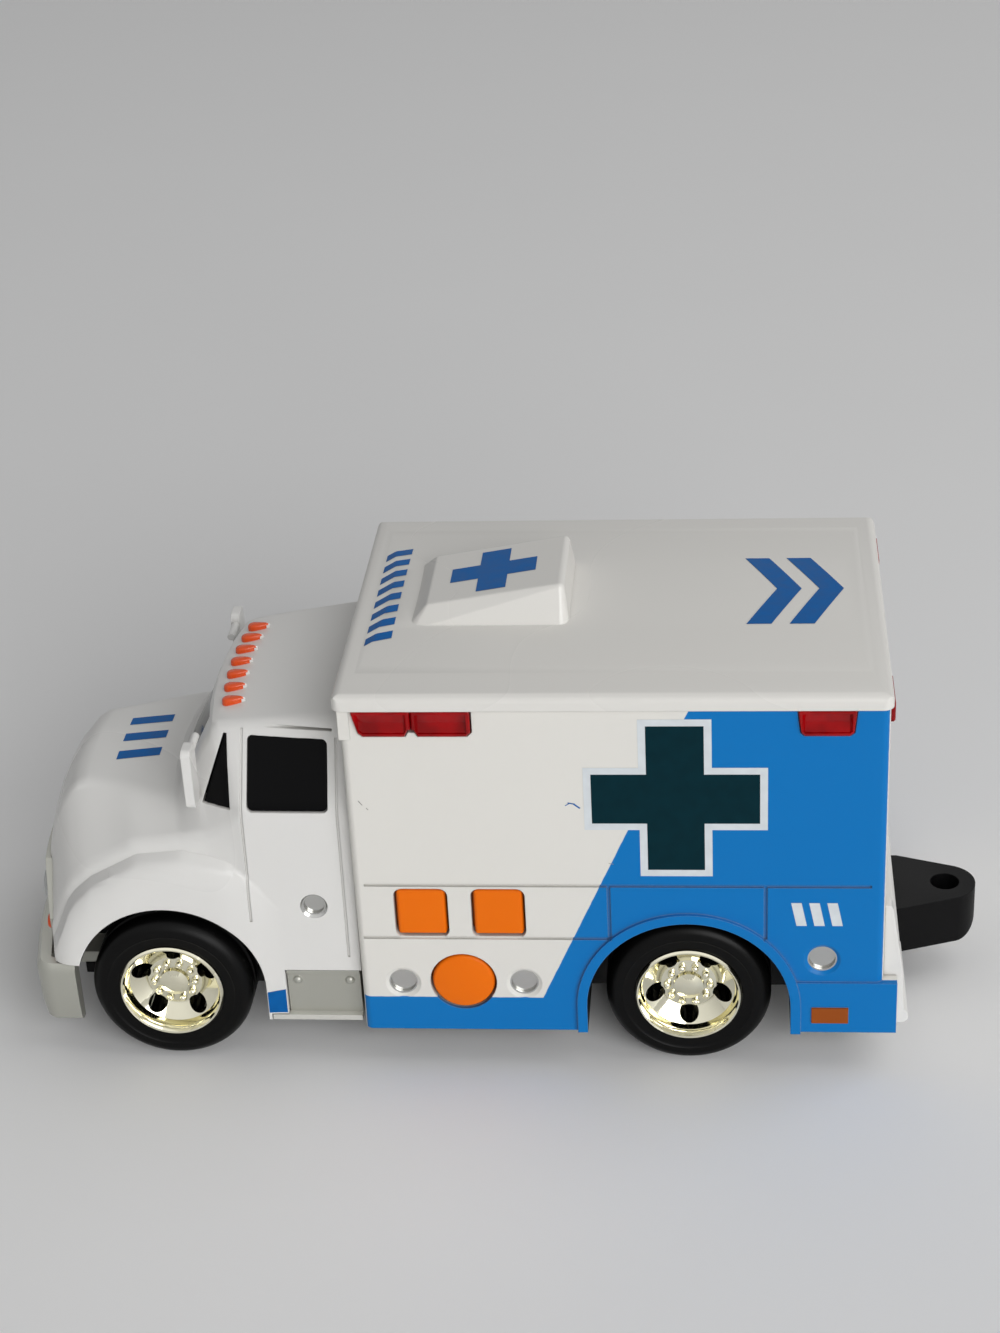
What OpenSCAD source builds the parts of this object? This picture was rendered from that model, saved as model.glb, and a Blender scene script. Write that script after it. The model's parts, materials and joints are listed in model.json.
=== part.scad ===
// Toy ambulance with lights and sounds: a lofted cab and a box body on a flat chassis, two rolling
// axles, three push buttons on the driver's side and a tow eye at the back.
// Millimetres. +X points forward, +Y to the driver's side, +Z up.
// The origin lies on the ground, midway along the length.

/* [Layout] */
// Distance between the two axles
wheelbase = 78.5; // [75:0.5:84]
// From the front axle to the front of the bumper
bumper_reach = 24.2; // [23:0.1:27]
// From the front axle back to the front face of the box
box_setback = 29.6; // [28.6:0.1:33]
// From the ground to the bottom edge of the body
ground_gap = 6.6; // [5.8:0.1:7.4]
// Clearance around fixed pieces in their openings
fit_gap = 0.15; // [0.05:0.01:0.25]
// Clearance around the moving buttons
run_gap = 0.3; // [0.25:0.01:0.4]

/* [Box] */
// Length of the box body
box_l = 77.6; // [75:0.1:90]
// Width of the box body
box_w = 56.2; // [55:0.1:62]
// Height of the box from its bottom edge to the roof
box_h = 55.8; // [52:0.1:62]
// Wall of the moulded shells
wall = 1.8; // [1.4:0.1:2.0]
// Radius of the upright corners of the box
box_corner = 1.2; // [0.6:0.1:1.6]
// Width of the moulded panel lines
groove_w = 0.5; // [0.3:0.05:0.8]
// Depth of the moulded panel lines
groove_d = 0.35; // [0.2:0.05:0.6]
// Height of the upper panel line above the bottom edge
waist_h = 26; // [24:0.1:28]
// Height of the lower panel line above the bottom edge
low_line_h = 16.7; // [15.5:0.1:18]
// Gap between the rear tyre and the top of its arch
arch_gap = 1.65; // [1.2:0.05:2.2]
// Drop of the rear arch's middle below the axle
arch_drop = 1.1; // [0:0.1:1.5]
// Width of the raised edge around the rear arch
flare_w = 1.5; // [0.8:0.1:2.0]
// How far the raised edge stands out of the side
flare_proud = 0.6; // [0.3:0.1:0.8]
// Length of the low band at the rear corner
band_l = 13; // [11:0.1:14]
// Height of the low band
band_h = 8.9; // [7:0.1:10]
// How far the low band stands out of the side
band_proud = 0.4; // [0.2:0.1:0.8]
// How far the low band reaches behind the box
band_tail = 2.0; // [1:0.1:2.6]
// Diameter of the round lamp dishes
dish_d = 5.4; // [4:0.1:6]
// Depth of the round lamp dishes
dish_depth = 0.9; // [0.5:0.1:1.1]

/* [Roof] */
// How far the roof stands out past the box sides
roof_lip = 0.9; // [0.5:0.1:1.5]
// Height of the roof edge
roof_edge = 2.3; // [1.9:0.1:3]
// Rise of the roof from its edge to the middle
roof_crown = 1.9; // [1:0.1:3]
// Length of the roof vent
vent_l = 23.6; // [18:0.1:30]
// Width of the roof vent
vent_w = 21.4; // [16:0.1:28]
// Height of the vent at its front
vent_front_h = 2.0; // [1.6:0.1:3]
// Height of the vent at its back
vent_rear_h = 5.2; // [4:0.1:7]
// From the front of the box back to the vent
vent_back = 8.4; // [6:0.1:14]

/* [Cab] */
// Height of the front edge of the cab roof above the ground
cab_roof_z = 54.2; // [52:0.1:56]
// Rise of the cab roof from front to back
cab_roof_rise = 2.6; // [1:0.1:4]
// Sills of the cab inside the sides of the box
cab_in = 2.1; // [1.4:0.1:2.4]
// Belt line of the cab inside its sills
belt_in = 1.3; // [0.9:0.1:1.6]
// Height of the belt line above the ground
belt_z = 43.2; // [42.6:0.1:43.8]
// Width across the cab roof edges
cab_roof_w = 36; // [34:0.1:38]
// Height of the bonnet above the ground
hood_z = 41.3; // [40.6:0.1:42]
// Width of the bonnet top at its front
hood_front_w = 22; // [19:0.1:25]
// Width of the bonnet top at the windscreen
hood_rear_w = 31.4; // [29:0.1:33]
// Length of the rounded nose
nose_l = 8; // [6:0.1:10]
// Foot of the windscreen behind the front axle
screen_foot = 0.6; // [0:0.1:1.4]
// Horizontal length of the raked windscreen
screen_rake = 6.6; // [5:0.1:8]
// How far the front wings stand out of the sills
wing_out = 0.4; // [0.1:0.1:0.9]
// Radius of the wings about the front axle
wing_r = 23; // [21:0.1:24]
// Gap between the front tyre and its arch
front_arch_gap = 2.15; // [1.6:0.05:2.4]
// Gap between the cab and the box
cab_gap = 0.3; // [0.1:0.05:0.6]

/* [Wheels] */
// Tyre diameter
tyre_d = 24.7; // [24:0.1:26]
// Tyre width
tyre_w = 9.6; // [8.5:0.1:10]
// Diameter of the rim lip
rim_d = 16; // [14:0.1:18]
// Axle diameter
axle_d = 2.5; // [2:0.1:3]
// Radial running clearance of the axles
axle_gap = 0.06; // [0.02:0.01:0.1]
// Tyre face behind the side of the box
wheel_inset = 1.0; // [0.4:0.1:1.6]
// Number of round holes in a hub
hub_holes = 5; // [4:1:6]
// Diameter of the hub holes
hub_hole_d = 2.9; // [2:0.1:3.2]
// Number of dome nuts on a hub
hub_nuts = 10; // [6:1:12]

/* [Buttons] */
// Width of the square buttons
button_w = 7.4; // [6.5:0.1:8]
// Height of the square buttons
button_h = 8; // [7:0.1:8.4]
// Diameter of the round button
round_d = 9.4; // [8:0.1:9.8]
// Travel of the buttons
button_travel = 1.0; // [0.6:0.1:1.3]
// From the front of the box to the middle of the first square button
button_back = 9.8; // [9.5:0.1:11]
// Distance between the square buttons
button_pitch = 11.4; // [11:0.1:13]
// Height of the square buttons above the bottom edge
button_up = 21.1; // [20.6:0.1:21.8]
// Height of the round button above the bottom edge
round_up = 8.8; // [8.6:0.1:9.2]

/* [Tow hitch] */
// Reach of the hitch behind the box
hitch_l = 15.75; // [14:0.05:20]
// Bore of the tow eye
hitch_hole_d = 4.5; // [3:0.1:5.5]
// Outside diameter of the tow eye
hitch_eye_d = 9.5; // [8:0.1:11]
// Width of the hitch at the body
hitch_w = 14.9; // [12:0.1:16]
// Height of the top of the hitch above the ground
hitch_top = 14.9; // [13.5:0.1:16]

/* [Electrics] */
// Diameter of the button cells
cell_d = 11.6; // [11:0.1:12]
// Thickness of the button cells
cell_h = 5.4; // [4.8:0.1:5.6]
// Number of button cells in the row
cell_count = 3; // [2:1:3]
// Diameter of the loudspeaker
speaker_d = 20; // [16:0.5:21]
// Height of the loudspeaker
speaker_h = 4.5; // [3:0.1:6]
// Diameter of the lamp diodes
led_d = 3; // [2.5:0.1:3.2]
// Thickness of the circuit board
board_t = 1.2; // [0.8:0.1:1.6]

/* [Hidden] */
$fn = 48;

// Places along X
total_l = bumper_reach + box_setback + box_l + hitch_l;
bumper_x = total_l / 2;
fa_x = bumper_x - bumper_reach;
ra_x = fa_x - wheelbase;
box_x1 = fa_x - box_setback;
box_x0 = box_x1 - box_l;
hitch_x = -total_l / 2;
nose_setback = 2.9;
nose_x = bumper_x - nose_setback;

// Places along Y and Z
box_y = box_w / 2;
in_y = box_y - wall;
cab_w = box_w - 2 * cab_in;
belt_w = cab_w - 2 * belt_in;
wing_w = cab_w + 2 * wing_out;
box_z0 = ground_gap;
box_z1 = box_z0 + box_h;
waist_z = box_z0 + waist_h;
low_line_z = box_z0 + low_line_h;
axle_z = tyre_d / 2;
wheel_y1 = box_y - wheel_inset;
wheel_y0 = wheel_y1 - tyre_w;
arch_r = tyre_d / 2 + arch_gap + arch_drop;
arch_z = axle_z - arch_drop;
front_arch_r = tyre_d / 2 + front_arch_gap;
well_wall = 1.2;
well_y0 = wheel_y0 - 2.5;
plate_t = 1.8;
plate_z0 = box_z0 + 0.4;
plate_z1 = plate_z0 + plate_t;

// Screws and the posts that take them
screw_d = 2.2;
screw_head_d = 4;
screw_head_h = 1.6;
screw_l = 9;
post_r = 2.5;
boss_r = 3.4;
boss_z = plate_z1 + 1.8;
plate_gap = 0.2;
front_post_x = box_x1 - wall - post_r + 0.4;
rear_post_x = box_x0 + wall + post_r - 0.4;
rear_post_y = 12;
cab_post_x = fa_x + 8;
cab_post_y = 7;
post_places = [[front_post_x, 0], [rear_post_x, rear_post_y], [rear_post_x, -rear_post_y],
    [cab_post_x, cab_post_y], [cab_post_x, -cab_post_y]];

// Button stack behind the side wall
flange_w = 1.1;
flange_t = 1.0;
flange_y = in_y - run_gap;
pressed_y = flange_y - flange_t - button_travel;
pad_t = 0.8;
dome_h = 0.9;
dome_r = 2.2;
button_r = 1;
pad_y = pressed_y - run_gap - dome_h;
board_y = pad_y - pad_t;
button_z = box_z0 + button_up;
round_z = box_z0 + round_up;
round_back = button_back + button_pitch / 2 - 0.1;
dish_z = box_z0 + 8.5;
dish_backs = [button_back - 3.5, button_back + button_pitch + 3.3];
tail_dish = [9, 13.1];
board_margin = 6.2;
board_low = 2.7;
board_high = 8.9;
board_post_r = 1.7;
board_post_up = 6.5;
board_places = [[dish_backs[0], round_z - 1.8], [dish_backs[1], round_z - 1.8],
    [round_back, button_z + board_post_up]];

// Battery bay and loudspeaker on the chassis
cell_pitch = cell_d + 0.5;
bay_l = cell_count * cell_pitch + 0.4;
bay_w = cell_d + 0.8;
bay_wall = 1.2;
bay_y = -13.5;
bay_x0 = box_x1 - 31;
door_t = 1.2;
door_rim = 1.5;
door_tail = 6.5;
cell_z0 = plate_z0 + door_t + 0.4;
contact_t = 0.3;
bay_z1 = cell_z0 + cell_h + contact_t + 0.2;
door_screw_x = bay_x0 + bay_l + bay_wall + 2.8;
speaker_x = box_x1 - 18;
speaker_y = 7.5;
speaker_ring = 1.2;
speaker_gap = 0.2;

// Lamp lenses along the top of the box
lens_z0 = box_z1 - 4.4;
lens_z1 = box_z1 - 0.2;
lens_proud = 0.5;
front_lens_back = 1.8;
front_lens_l = 17;
lens_notch = 1.1;
rear_lens_ahead = 4.7;
rear_lens_l = 8.2;
tail_lens_in = 1.8;
tail_lens_w = 8.2;
tail_lens_proud = 0.7;
tail_lens_z0 = lens_z0 + 0.8;
led_l = 5;
socket_wall = 1.1;
led_gap = 0.1;
front_led_x = box_x1 - front_lens_back - front_lens_l / 2;
rear_led_x = box_x0 + rear_lens_ahead + rear_lens_l / 2;
led_z = (lens_z0 + lens_z1) / 2;

// Steps below the doors and the rear bumper
step_x0 = box_x1 + 0.7;
step_x1 = fa_x - front_arch_r - 3.2;
step_y = cab_w / 2 - 0.9;
step_z1 = box_z0 + 8.8;
tread_x0 = box_x1 + 0.7;
tread_x1 = fa_x - front_arch_r - 0.6;
tread_t = 0.9;
pocket_y = step_y - 2.2;
step_tongue = 1.6;
step_tongue_t = 1.4;
tail_reach = 3.9;
tail_z1 = plate_z0 + 10;
fin_z1 = box_z0 + 21.4;
fin_w = 2.4;

// Outlines and placing

// Points along an arc about c from angle a0 to a1
function arc(c, r, a0, a1, n) =
    [for (i = [0:n]) let (a = a0 + (a1 - a0) * i / n) [c[0] + r * cos(a), c[1] + r * sin(a)]];

// Rounded rectangle about the origin
function round_rect(w, h, r, n = 6) = concat(
    arc([w / 2 - r, h / 2 - r], r, 0, 90, n), arc([r - w / 2, h / 2 - r], r, 90, 180, n),
    arc([r - w / 2, r - h / 2], r, 180, 270, n), arc([w / 2 - r, r - h / 2], r, 270, 360, n));

// Wheel arch: a half circle with straight legs that go down by drop
function arch(r, drop, n = 40) = concat([[r, -drop]], arc([0, 0], r, 0, 180, n), [[-r, -drop]]);

// Half the chord of a circle at a distance from its middle
function half_chord(r, h) = sqrt(r * r - h * h);

// Extrudes an X-Z outline along Y
module along_y(points, y0, y1) {
    translate([0, y1, 0]) rotate([90, 0, 0]) linear_extrude(y1 - y0) polygon(points);
}

// Extrudes a Y-Z outline along X
module along_x(points, x0, x1) {
    translate([x0, 0, 0]) rotate([90, 0, 90]) linear_extrude(x1 - x0) polygon(points);
}

// Round bar along Y
module y_bar(r, x, z, y0, y1) {
    translate([x, y0, z]) rotate([-90, 0, 0]) cylinder(r = r, h = y1 - y0);
}

// Block between two corners
module block(a, b) {
    translate(a) cube(b - a);
}

module both_sides() {
    children();
    mirror([0, 1, 0]) children();
}

// Solid through a row of rings, each closed and mirror-symmetric about Y, from back to front
module skin(rings) {
    m = len(rings[0]);
    last = len(rings) - 1;
    sides = [for (i = [0:last - 1], j = [0:m - 1]) let (k = (j + 1) % m)
        each [[i * m + j, (i + 1) * m + k, i * m + k], [i * m + j, (i + 1) * m + j, (i + 1) * m + k]]];
    back = [for (k = [0:m / 2 - 2])
        each [[k, k + 1, m - 2 - k], [k, m - 2 - k, m - 1 - k]]];
    front = [for (t = back) [for (p = [2, 1, 0]) last * m + t[p]]];
    polyhedron([for (r = rings) each r], concat(sides, back, front), convexity = 6);
}

// Cab form: sections across the cab, placed along u, the distance ahead of the front axle
cab_u0 = cab_gap - box_setback;
screen_u0 = -screen_foot - screen_rake;
screen_u1 = -screen_foot;
nose_u1 = nose_x - fa_x;
nose_u0 = nose_u1 - nose_l;
nose_z0 = 24;
roof_round = 1.2;
edge_turn = 1.5;
bow_span = 25;
nose_steps = 8;
wing_round = 5;
wing_steps = [0, 0.4, 0.7, 0.85, 0.93, 0.97, 1];

// Height of the cab's middle line
function cab_top(u) = u > nose_u0
    ? nose_z0 + (hood_z - nose_z0) * sqrt(max(0, 1 - pow((u - nose_u0) / nose_l, 2)))
    : lookup(u, [[cab_u0, cab_roof_z + cab_roof_rise], [screen_u0 - roof_round, cab_roof_z + 0.1],
        [screen_u0, cab_roof_z - 0.4], [screen_u0 + 0.6, cab_roof_z - 1.6],
        [screen_u1 - 0.4, hood_z + 0.8], [screen_u1 + 0.5, hood_z + 0.1], [nose_u0, hood_z]]);

// Half width of the sharp corner between the top and the sloping side
function cab_edge(u) = lookup(u, [[cab_u0, cab_roof_w / 2 + 0.8], [screen_u0, cab_roof_w / 2 - 1],
    [screen_u1, hood_rear_w / 2], [nose_u0, hood_front_w / 2], [nose_u1, hood_front_w / 2 + 2]]);

// Height and half width of the belt, where the sloping side meets the upright one
function cab_belt_z(u) = lookup(u, [[cab_u0, belt_z], [-11, belt_z], [-5, belt_z - 5.2], [0, belt_z - 6.2],
    [6, belt_z - 7], [nose_u0, belt_z - 11.2], [nose_u0 + nose_l / 2, belt_z - 14.8],
    [nose_u1, nose_z0 - 4]]);
function cab_belt(u) = lookup(u, [[cab_u0, belt_w / 2 + 0.2], [-11, belt_w / 2], [-5, belt_w / 2 - 1.2],
    [0, belt_w / 2 - 1.6], [nose_u0, belt_w / 2 - 2.3], [nose_u1, belt_w / 2 - 3.2]]);

// Half width at the sill
function cab_sill(u) = lookup(u, [[cab_u0, cab_w / 2], [-8, cab_w / 2], [4, cab_w / 2 - 0.6],
    [nose_u0, cab_w / 2 - 1.2], [nose_u1, cab_w / 2 - 3]]);

// Fall of the top from the middle to its edge, and sweep of the section towards the back
function cab_crown(u) = lookup(u, [[cab_u0, 0.6], [screen_u0, 0.6], [nose_u0, 0.8], [nose_u1, 1.2]]);
function cab_bow(u) = lookup(u, [[cab_u0, 0], [-16, 0], [-8, 3.2], [nose_u0, 2.6], [nose_u1, 3.4]]);

// Smooth turn at b between a and c, starting and ending at distance d from b
function turn(a, b, c, d, n) = let (p = b + (a - b) * d / norm(a - b), q = b + (c - b) * d / norm(c - b))
    [for (i = [0:n]) let (t = i / n) (1 - t) * (1 - t) * p + 2 * t * (1 - t) * b + t * t * q];

// Height of the wing's edge at u, and how far the wing stands out of the side at a height
function wing_top(u) = abs(u) < wing_r ? axle_z + half_chord(wing_r, u) : axle_z;
function wing_fill(u, z) = let (t = (norm([u, z - axle_z]) - wing_r + wing_round) / wing_round)
    lookup(u, [[-18, 0], [-6, 1]]) * (t < 0 ? 1 : t > 1 ? 0 : sqrt(1 - t * t));

// Half of one section as Y-Z points from the sill to the middle, with the walls moved in by inset
function cab_half(u, inset, z0, winged) = let (
        top = min(cab_top(u), cab_top(u + inset)) - inset * 0.8,
        crown = cab_crown(u),
        sill = [cab_sill(u) - inset, z0],
        belt = [cab_belt(u) - inset, cab_belt_z(u) - inset * 0.3],
        edge = [cab_edge(u) - inset * 0.7, top - crown],
        mid = [0, top],
        round_up = turn(sill, belt, edge, 1.6, 3),
        shoulder = max(z0 + 4, min(round_up[0][1] - 0.4, wing_top(u))),
        side = [for (t = winged ? wing_steps : [0, 1]) let (z = z0 + (shoulder - z0) * t,
            y = sill[0] + (belt[0] - sill[0]) * (z - z0) / (belt[1] - z0))
            [winged ? y + max(0, wing_w / 2 - y) * wing_fill(u, z) : y, z]])
    concat(side, round_up, turn(belt, edge, mid, edge_turn, 4),
        [[edge[0] * 0.5, top - crown * 0.25], [edge[0] * 0.15, top - crown * 0.03]]);

function cab_ring(u, inset, z0, winged) = let (
        half = cab_half(u, inset, z0, winged),
        bow = cab_bow(u),
        right = [for (i = [len(half) - 1:-1:0]) [-half[i][0], half[i][1]]])
    [for (p = concat(half, right)) [fa_x + u - bow * pow(p[0] / bow_span, 2), p[0], p[1]]];

// Section places: closer together at the windscreen and round the nose
function cab_places(inset) = concat(
    [cab_u0 - inset, -22, -18, -16, -14, -12.5, -11, screen_u0 - roof_round - inset, screen_u0 - inset,
        screen_u0 + 0.6 - inset, screen_u0 + 2 - inset, (screen_u0 + screen_u1) / 2 - inset,
        screen_u1 - 1.6 - inset, screen_u1 - 0.4 - inset, screen_u1 + 0.5 - inset],
    [for (u = [1.5:1.5:10.5]) u],
    [for (i = [0:nose_steps]) nose_u0 - inset + nose_l * sin(90 * i / nose_steps)]);

// The cab's form with its faces moved in by inset; a hollow one has no wings and runs out at the bottom
module cab_form(inset = 0, hollow = false) {
    z0 = hollow ? box_z0 - 2 : box_z0;
    skin([for (u = cab_places(inset)) cab_ring(u, inset, z0, !hollow)]);
}

// Side window openings as X-Z outlines, and the windscreen as a Y-Z outline, grown by g
door_window_x0 = box_x1 + 3.35;
door_window_x1 = fa_x - 14.15;
door_window_h = 9.8;
function door_window(g) = let (w = door_window_x1 - door_window_x0)
    [for (p = round_rect(w + 2 * g, door_window_h + 2 * g, 0.8))
        [door_window_x0 + w / 2 + p[0], belt_z + 4.6 + p[1]]];
function quarter_window(g) = [[fa_x - 6.7 + 2 * g, belt_z - 1.1 - g], [fa_x - 11.5 - g, belt_z - 0.5 - g],
    [fa_x - 11.0 - g, belt_z + 9.4 + g], [fa_x - 10.5 + g, belt_z + 9.4 + g]];
function windscreen(g) = [[13.6 + g, hood_z + 1.4 - g], [12.4 + g, cab_roof_z - 2.0 + g],
    [-12.4 - g, cab_roof_z - 2.0 + g], [-13.6 - g, hood_z + 1.4 - g]];

module window_openings(g) {
    both_sides() {
        along_y(door_window(g), 12, cab_w);
        along_y(quarter_window(g), 12, cab_w);
    }
    along_x(windscreen(g), fa_x + screen_u0 - 4, fa_x + screen_u1 + 6);
}

// Curved front plate of the nose, between two depths behind its face, inside a Y-Z outline
grille_t = 1.4;
grille_proud = 0.2;
grille_z0 = box_z0 + 10.4;
grille_h = 11.4;
grille_low_y = cab_w / 2 - 5.4;
grille_top_y = grille_low_y - 6;
function grille_x(y, depth) = nose_x + grille_proud - depth - cab_bow(nose_u1) * pow(y / bow_span, 2);
function grille_outline(g) = [[grille_low_y + g, grille_z0 - g], [grille_low_y + g, grille_z0 + 4.2],
    [grille_top_y + g, grille_z0 + grille_h + g], [-grille_top_y - g, grille_z0 + grille_h + g],
    [-grille_low_y - g, grille_z0 + 4.2], [-grille_low_y - g, grille_z0 - g]];
module grille_plate(d0, d1, g) {
    ys = [for (i = [-12:12]) i * (grille_low_y + 1) / 12];
    plan = concat([for (y = ys) [grille_x(y, d1), y]],
        [for (i = [len(ys) - 1:-1:0]) [grille_x(ys[i], d0), ys[i]]]);
    intersection() {
        translate([0, 0, grille_z0 - 2]) linear_extrude(grille_h + 4) polygon(plan);
        along_x(grille_outline(g), nose_x - 12, nose_x + 12);
    }
}

module cab_shell() {
    door_x = fa_x - 13.3;
    side_lean = atan(belt_in / (belt_z - box_z0));
    nose_cut_z = grille_z0 - 0.5;
    color("white") difference() {
        union() {
            difference() {
                cab_form();
                cab_form(wall, true);
            }
            both_sides() intersection() {
                translate([fa_x, 0, axle_z]) along_y(arch(front_arch_r + well_wall, axle_z), well_y0,
                    cab_belt(0) - 0.5);
                block([box_x1, 0, box_z0], [nose_x - wall, box_y, box_z1]);
            }
            both_sides() translate([cab_post_x, cab_post_y, boss_z])
                cylinder(r = post_r, h = hood_z - 1.2 - boss_z);
            roof_markers();
        }
        both_sides() {
            translate([fa_x, 0, axle_z]) along_y(arch(front_arch_r, axle_z), well_y0 + well_wall, box_w);
            translate([fa_x, 0, axle_z]) along_y(arch(axle_d / 2 + 1, axle_z), well_y0 - 1, box_y);
            translate([cab_post_x, cab_post_y, boss_z - 1]) cylinder(d = screw_d + 0.1, h = 11);
            block([box_x1 - 1, pocket_y, 0], [step_x1 + fit_gap, box_y, step_z1 + fit_gap]);
            block([box_x1 - 1, pocket_y, 0], [tread_x1 + fit_gap, box_y, box_z0 + tread_t + fit_gap]);
            translate([0, cab_belt(-10) - groove_d, belt_z - 1]) rotate([180 - side_lean, 0, 0]) {
                translate([door_x, 0, 0]) cube([groove_w, 4, 14.5]);
                translate([box_x1 + 2, 0, 0]) cube([groove_w, 4, belt_z - step_z1 - 1.6]);
            }
            block([box_x1 + 2.6, cab_edge(-16) + 0.5, belt_z + 10.6], [door_x, cab_w, belt_z + 11]);
            lamp_dish(box_x1 + 6.7, belt_z - 16.2, cab_w / 2 - 0.55, 4.4);
        }
        window_openings(0);
        block([fa_x + front_arch_r - 3, -box_y, 0], [bumper_x, box_y, nose_cut_z]);
        grille_plate(-8, grille_t + fit_gap, fit_gap);
    }
}

// Row of seven teardrop markers along the front edge of the cab roof
marker_count = 7;
marker_pitch = 3.9;
module roof_markers() {
    for (i = [0:marker_count - 1]) {
        y = (i - (marker_count - 1) / 2) * marker_pitch;
        u = screen_u0 - 2.4 - cab_bow(screen_u0) * pow(y / bow_span, 2);
        z = cab_top(u) - cab_crown(u) * pow(y / cab_edge(u), 2);
        translate([fa_x + u, y, z - 0.5]) {
            cylinder(d = 1.5, h = 1.15, $fn = 24);
            rotate([90, 0, -90]) linear_extrude(2.6) polygon([[-0.6, 0], [0.6, 0], [0, 1.05]]);
        }
    }
}

// Round lamp dish sunk into a side at y: a chamfered rim and a flat floor
module lamp_dish(x, z, y, d) {
    translate([x, y, z]) rotate([-90, 0, 0]) {
        translate([0, 0, -dish_depth]) cylinder(d = d * 0.72, h = dish_depth * 4);
        translate([0, 0, -dish_depth * 0.45]) cylinder(d1 = d * 0.8, d2 = d * 1.02, h = dish_depth * 0.5);
        cylinder(d = d * 1.02, h = dish_depth * 3);
    }
}

// One-piece window moulding: panes in the openings on a liner inside the cab
glass_set = 0.3;
glass_t = 1.3;
module cab_glazing() {
    liner = wall + fit_gap;
    x0 = box_x1 + 2;
    z0 = belt_z - 1.8;
    z1 = cab_roof_z - 1.2;
    low_y = belt_w / 2 - 7.1;
    top_y = cab_roof_w / 2 - 4.6;
    front = fa_x + screen_u1 - liner - glass_t;
    color("black") difference() {
        union() {
            intersection() {
                cab_form(glass_set);
                window_openings(-fit_gap);
            }
            intersection() {
                cab_form(liner, true);
                block([x0, -box_y, z0], [fa_x + screen_u1, box_y, z1]);
            }
        }
        intersection() {
            along_y([[x0 - 1, z0 - 1], [front, z0 - 1], [front - screen_rake - 1, z1 - glass_t],
                [x0 - 1, z1 - glass_t]], -box_y, box_y);
            along_x([[low_y, z0 - 1], [top_y, z1], [-top_y, z1], [-low_y, z0 - 1]], x0 - 2, fa_x);
        }
    }
}

// Nose panel with grille slots, headlamps and turn signals
module grille_panel() {
    slot_h = 0.9;
    lamp_y = grille_low_y - 7.6;
    slot_y = lamp_y - 4;
    lamp_z = grille_z0 + 6;
    signal_y = grille_low_y - 2;
    color("silver") {
        difference() {
            grille_plate(0, grille_t, 0);
            for (i = [0:4]) intersection() {
                grille_plate(-2, 0.8, 0);
                block([nose_x - 8, -slot_y, grille_z0 + 1.6 + i * slot_h * 2],
                    [nose_x + 8, slot_y, grille_z0 + 1.6 + slot_h + i * slot_h * 2]);
            }
        }
        both_sides() {
            translate([grille_x(lamp_y, 0.4), lamp_y, lamp_z]) rotate([0, 90, 0])
                cylinder(d1 = 5.6, d2 = 4.4, h = 0.9);
            translate([grille_x(signal_y, 0.5), signal_y, grille_z0 + 2.6]) rotate([0, 90, 0])
                cylinder(d1 = 3, d2 = 2.2, h = 0.8);
        }
    }
}

// Front bumper: a channel section swept round a bowed front and two corners
bumper_y = cab_w / 2;
bumper_z0 = box_z0 - 1.1;
bumper_z1 = grille_z0 - 0.8;
bumper_t = 2.4;
bumper_bow = 3;
bumper_corner = 3;
bumper_end = fa_x + front_arch_r + 0.4;
tongue_y = 12;
function bumper_front(y) = bumper_x - bumper_bow * pow(y / (bumper_y - 2), 2);
bumper_side = let (
        y1 = bumper_y - bumper_corner,
        c = [bumper_front(y1) - bumper_corner, y1])
    concat([[bumper_end, bumper_y, 90]],
        [for (a = [90:-15:15]) [c[0] + bumper_corner * cos(a), c[1] + bumper_corner * sin(a), a]],
        [for (i = [5:-1:1]) let (y = (y1 - 1) * i / 5)
            [bumper_front(y), y, atan(2 * bumper_bow * y / pow(bumper_y - 2, 2))]]);
bumper_path = concat(bumper_side, [[bumper_x, 0, 0]],
    [for (i = [len(bumper_side) - 1:-1:0]) [bumper_side[i][0], -bumper_side[i][1], -bumper_side[i][2]]]);
bumper_section = let (h = bumper_z1 - bumper_z0) [[1.4, 0], [0.6, 0.5], [0.15, 3.4], [0, h - 1.6],
    [0.15, h - 0.7], [0.7, h], [bumper_t, h], [bumper_t, 0]];
module front_bumper() {
    m = len(bumper_section);
    n = len(bumper_path);
    points = [for (p = bumper_path, s = bumper_section)
        [p[0] - s[0] * cos(p[2]), p[1] - s[0] * sin(p[2]), bumper_z0 + s[1]]];
    sides = [for (i = [0:n - 2], j = [0:m - 1]) let (k = (j + 1) % m)
        each [[i * m + j, (i + 1) * m + k, i * m + k], [i * m + j, (i + 1) * m + j, (i + 1) * m + k]]];
    first = [for (j = [0:m - 1]) j];
    end = [for (j = [m - 1:-1:0]) (n - 1) * m + j];
    color("gainsboro") union() {
        polyhedron(points, concat(sides, [first, end]), convexity = 4);
        both_sides() {
            block([cab_post_x + post_r + 0.4, tongue_y - 2.5, plate_z1],
                [bumper_front(tongue_y) - bumper_t + 0.4, tongue_y + 2.5, plate_z1 + 2]);
            translate([bumper_front(tongue_y) - 0.6, tongue_y, bumper_z0 + 3.9]) rotate([0, 90, 0])
                cylinder(d = 2, h = 1.1);
        }
    }
}

// Door mirror: an upright head against the corner of the door, with an arm at its top
module mirror_form() {
    mirror_x = fa_x - 6.4;
    mirror_z = belt_z - 0.5;
    mirror_h = 9.8;
    head_w = 3.8;
    head_t = 1.4;
    arm_r = 0.6;
    arm_z = mirror_z + mirror_h - 1.8;
    head_y = belt_w / 2 - 3.1;
    translate([0, head_y, mirror_z + mirror_h / 2])
        along_x(round_rect(head_w, mirror_h, 1), mirror_x, mirror_x + head_t);
    y_bar(arm_r, mirror_x + head_t / 2, arm_z, cab_edge(0), head_y);
}

module mirror_left() {
    color("white") difference() {
        mirror_form();
        cab_form();
    }
}

module mirror_right() {
    color("white") difference() {
        mirror([0, 1, 0]) mirror_form();
        cab_form();
    }
}

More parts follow.
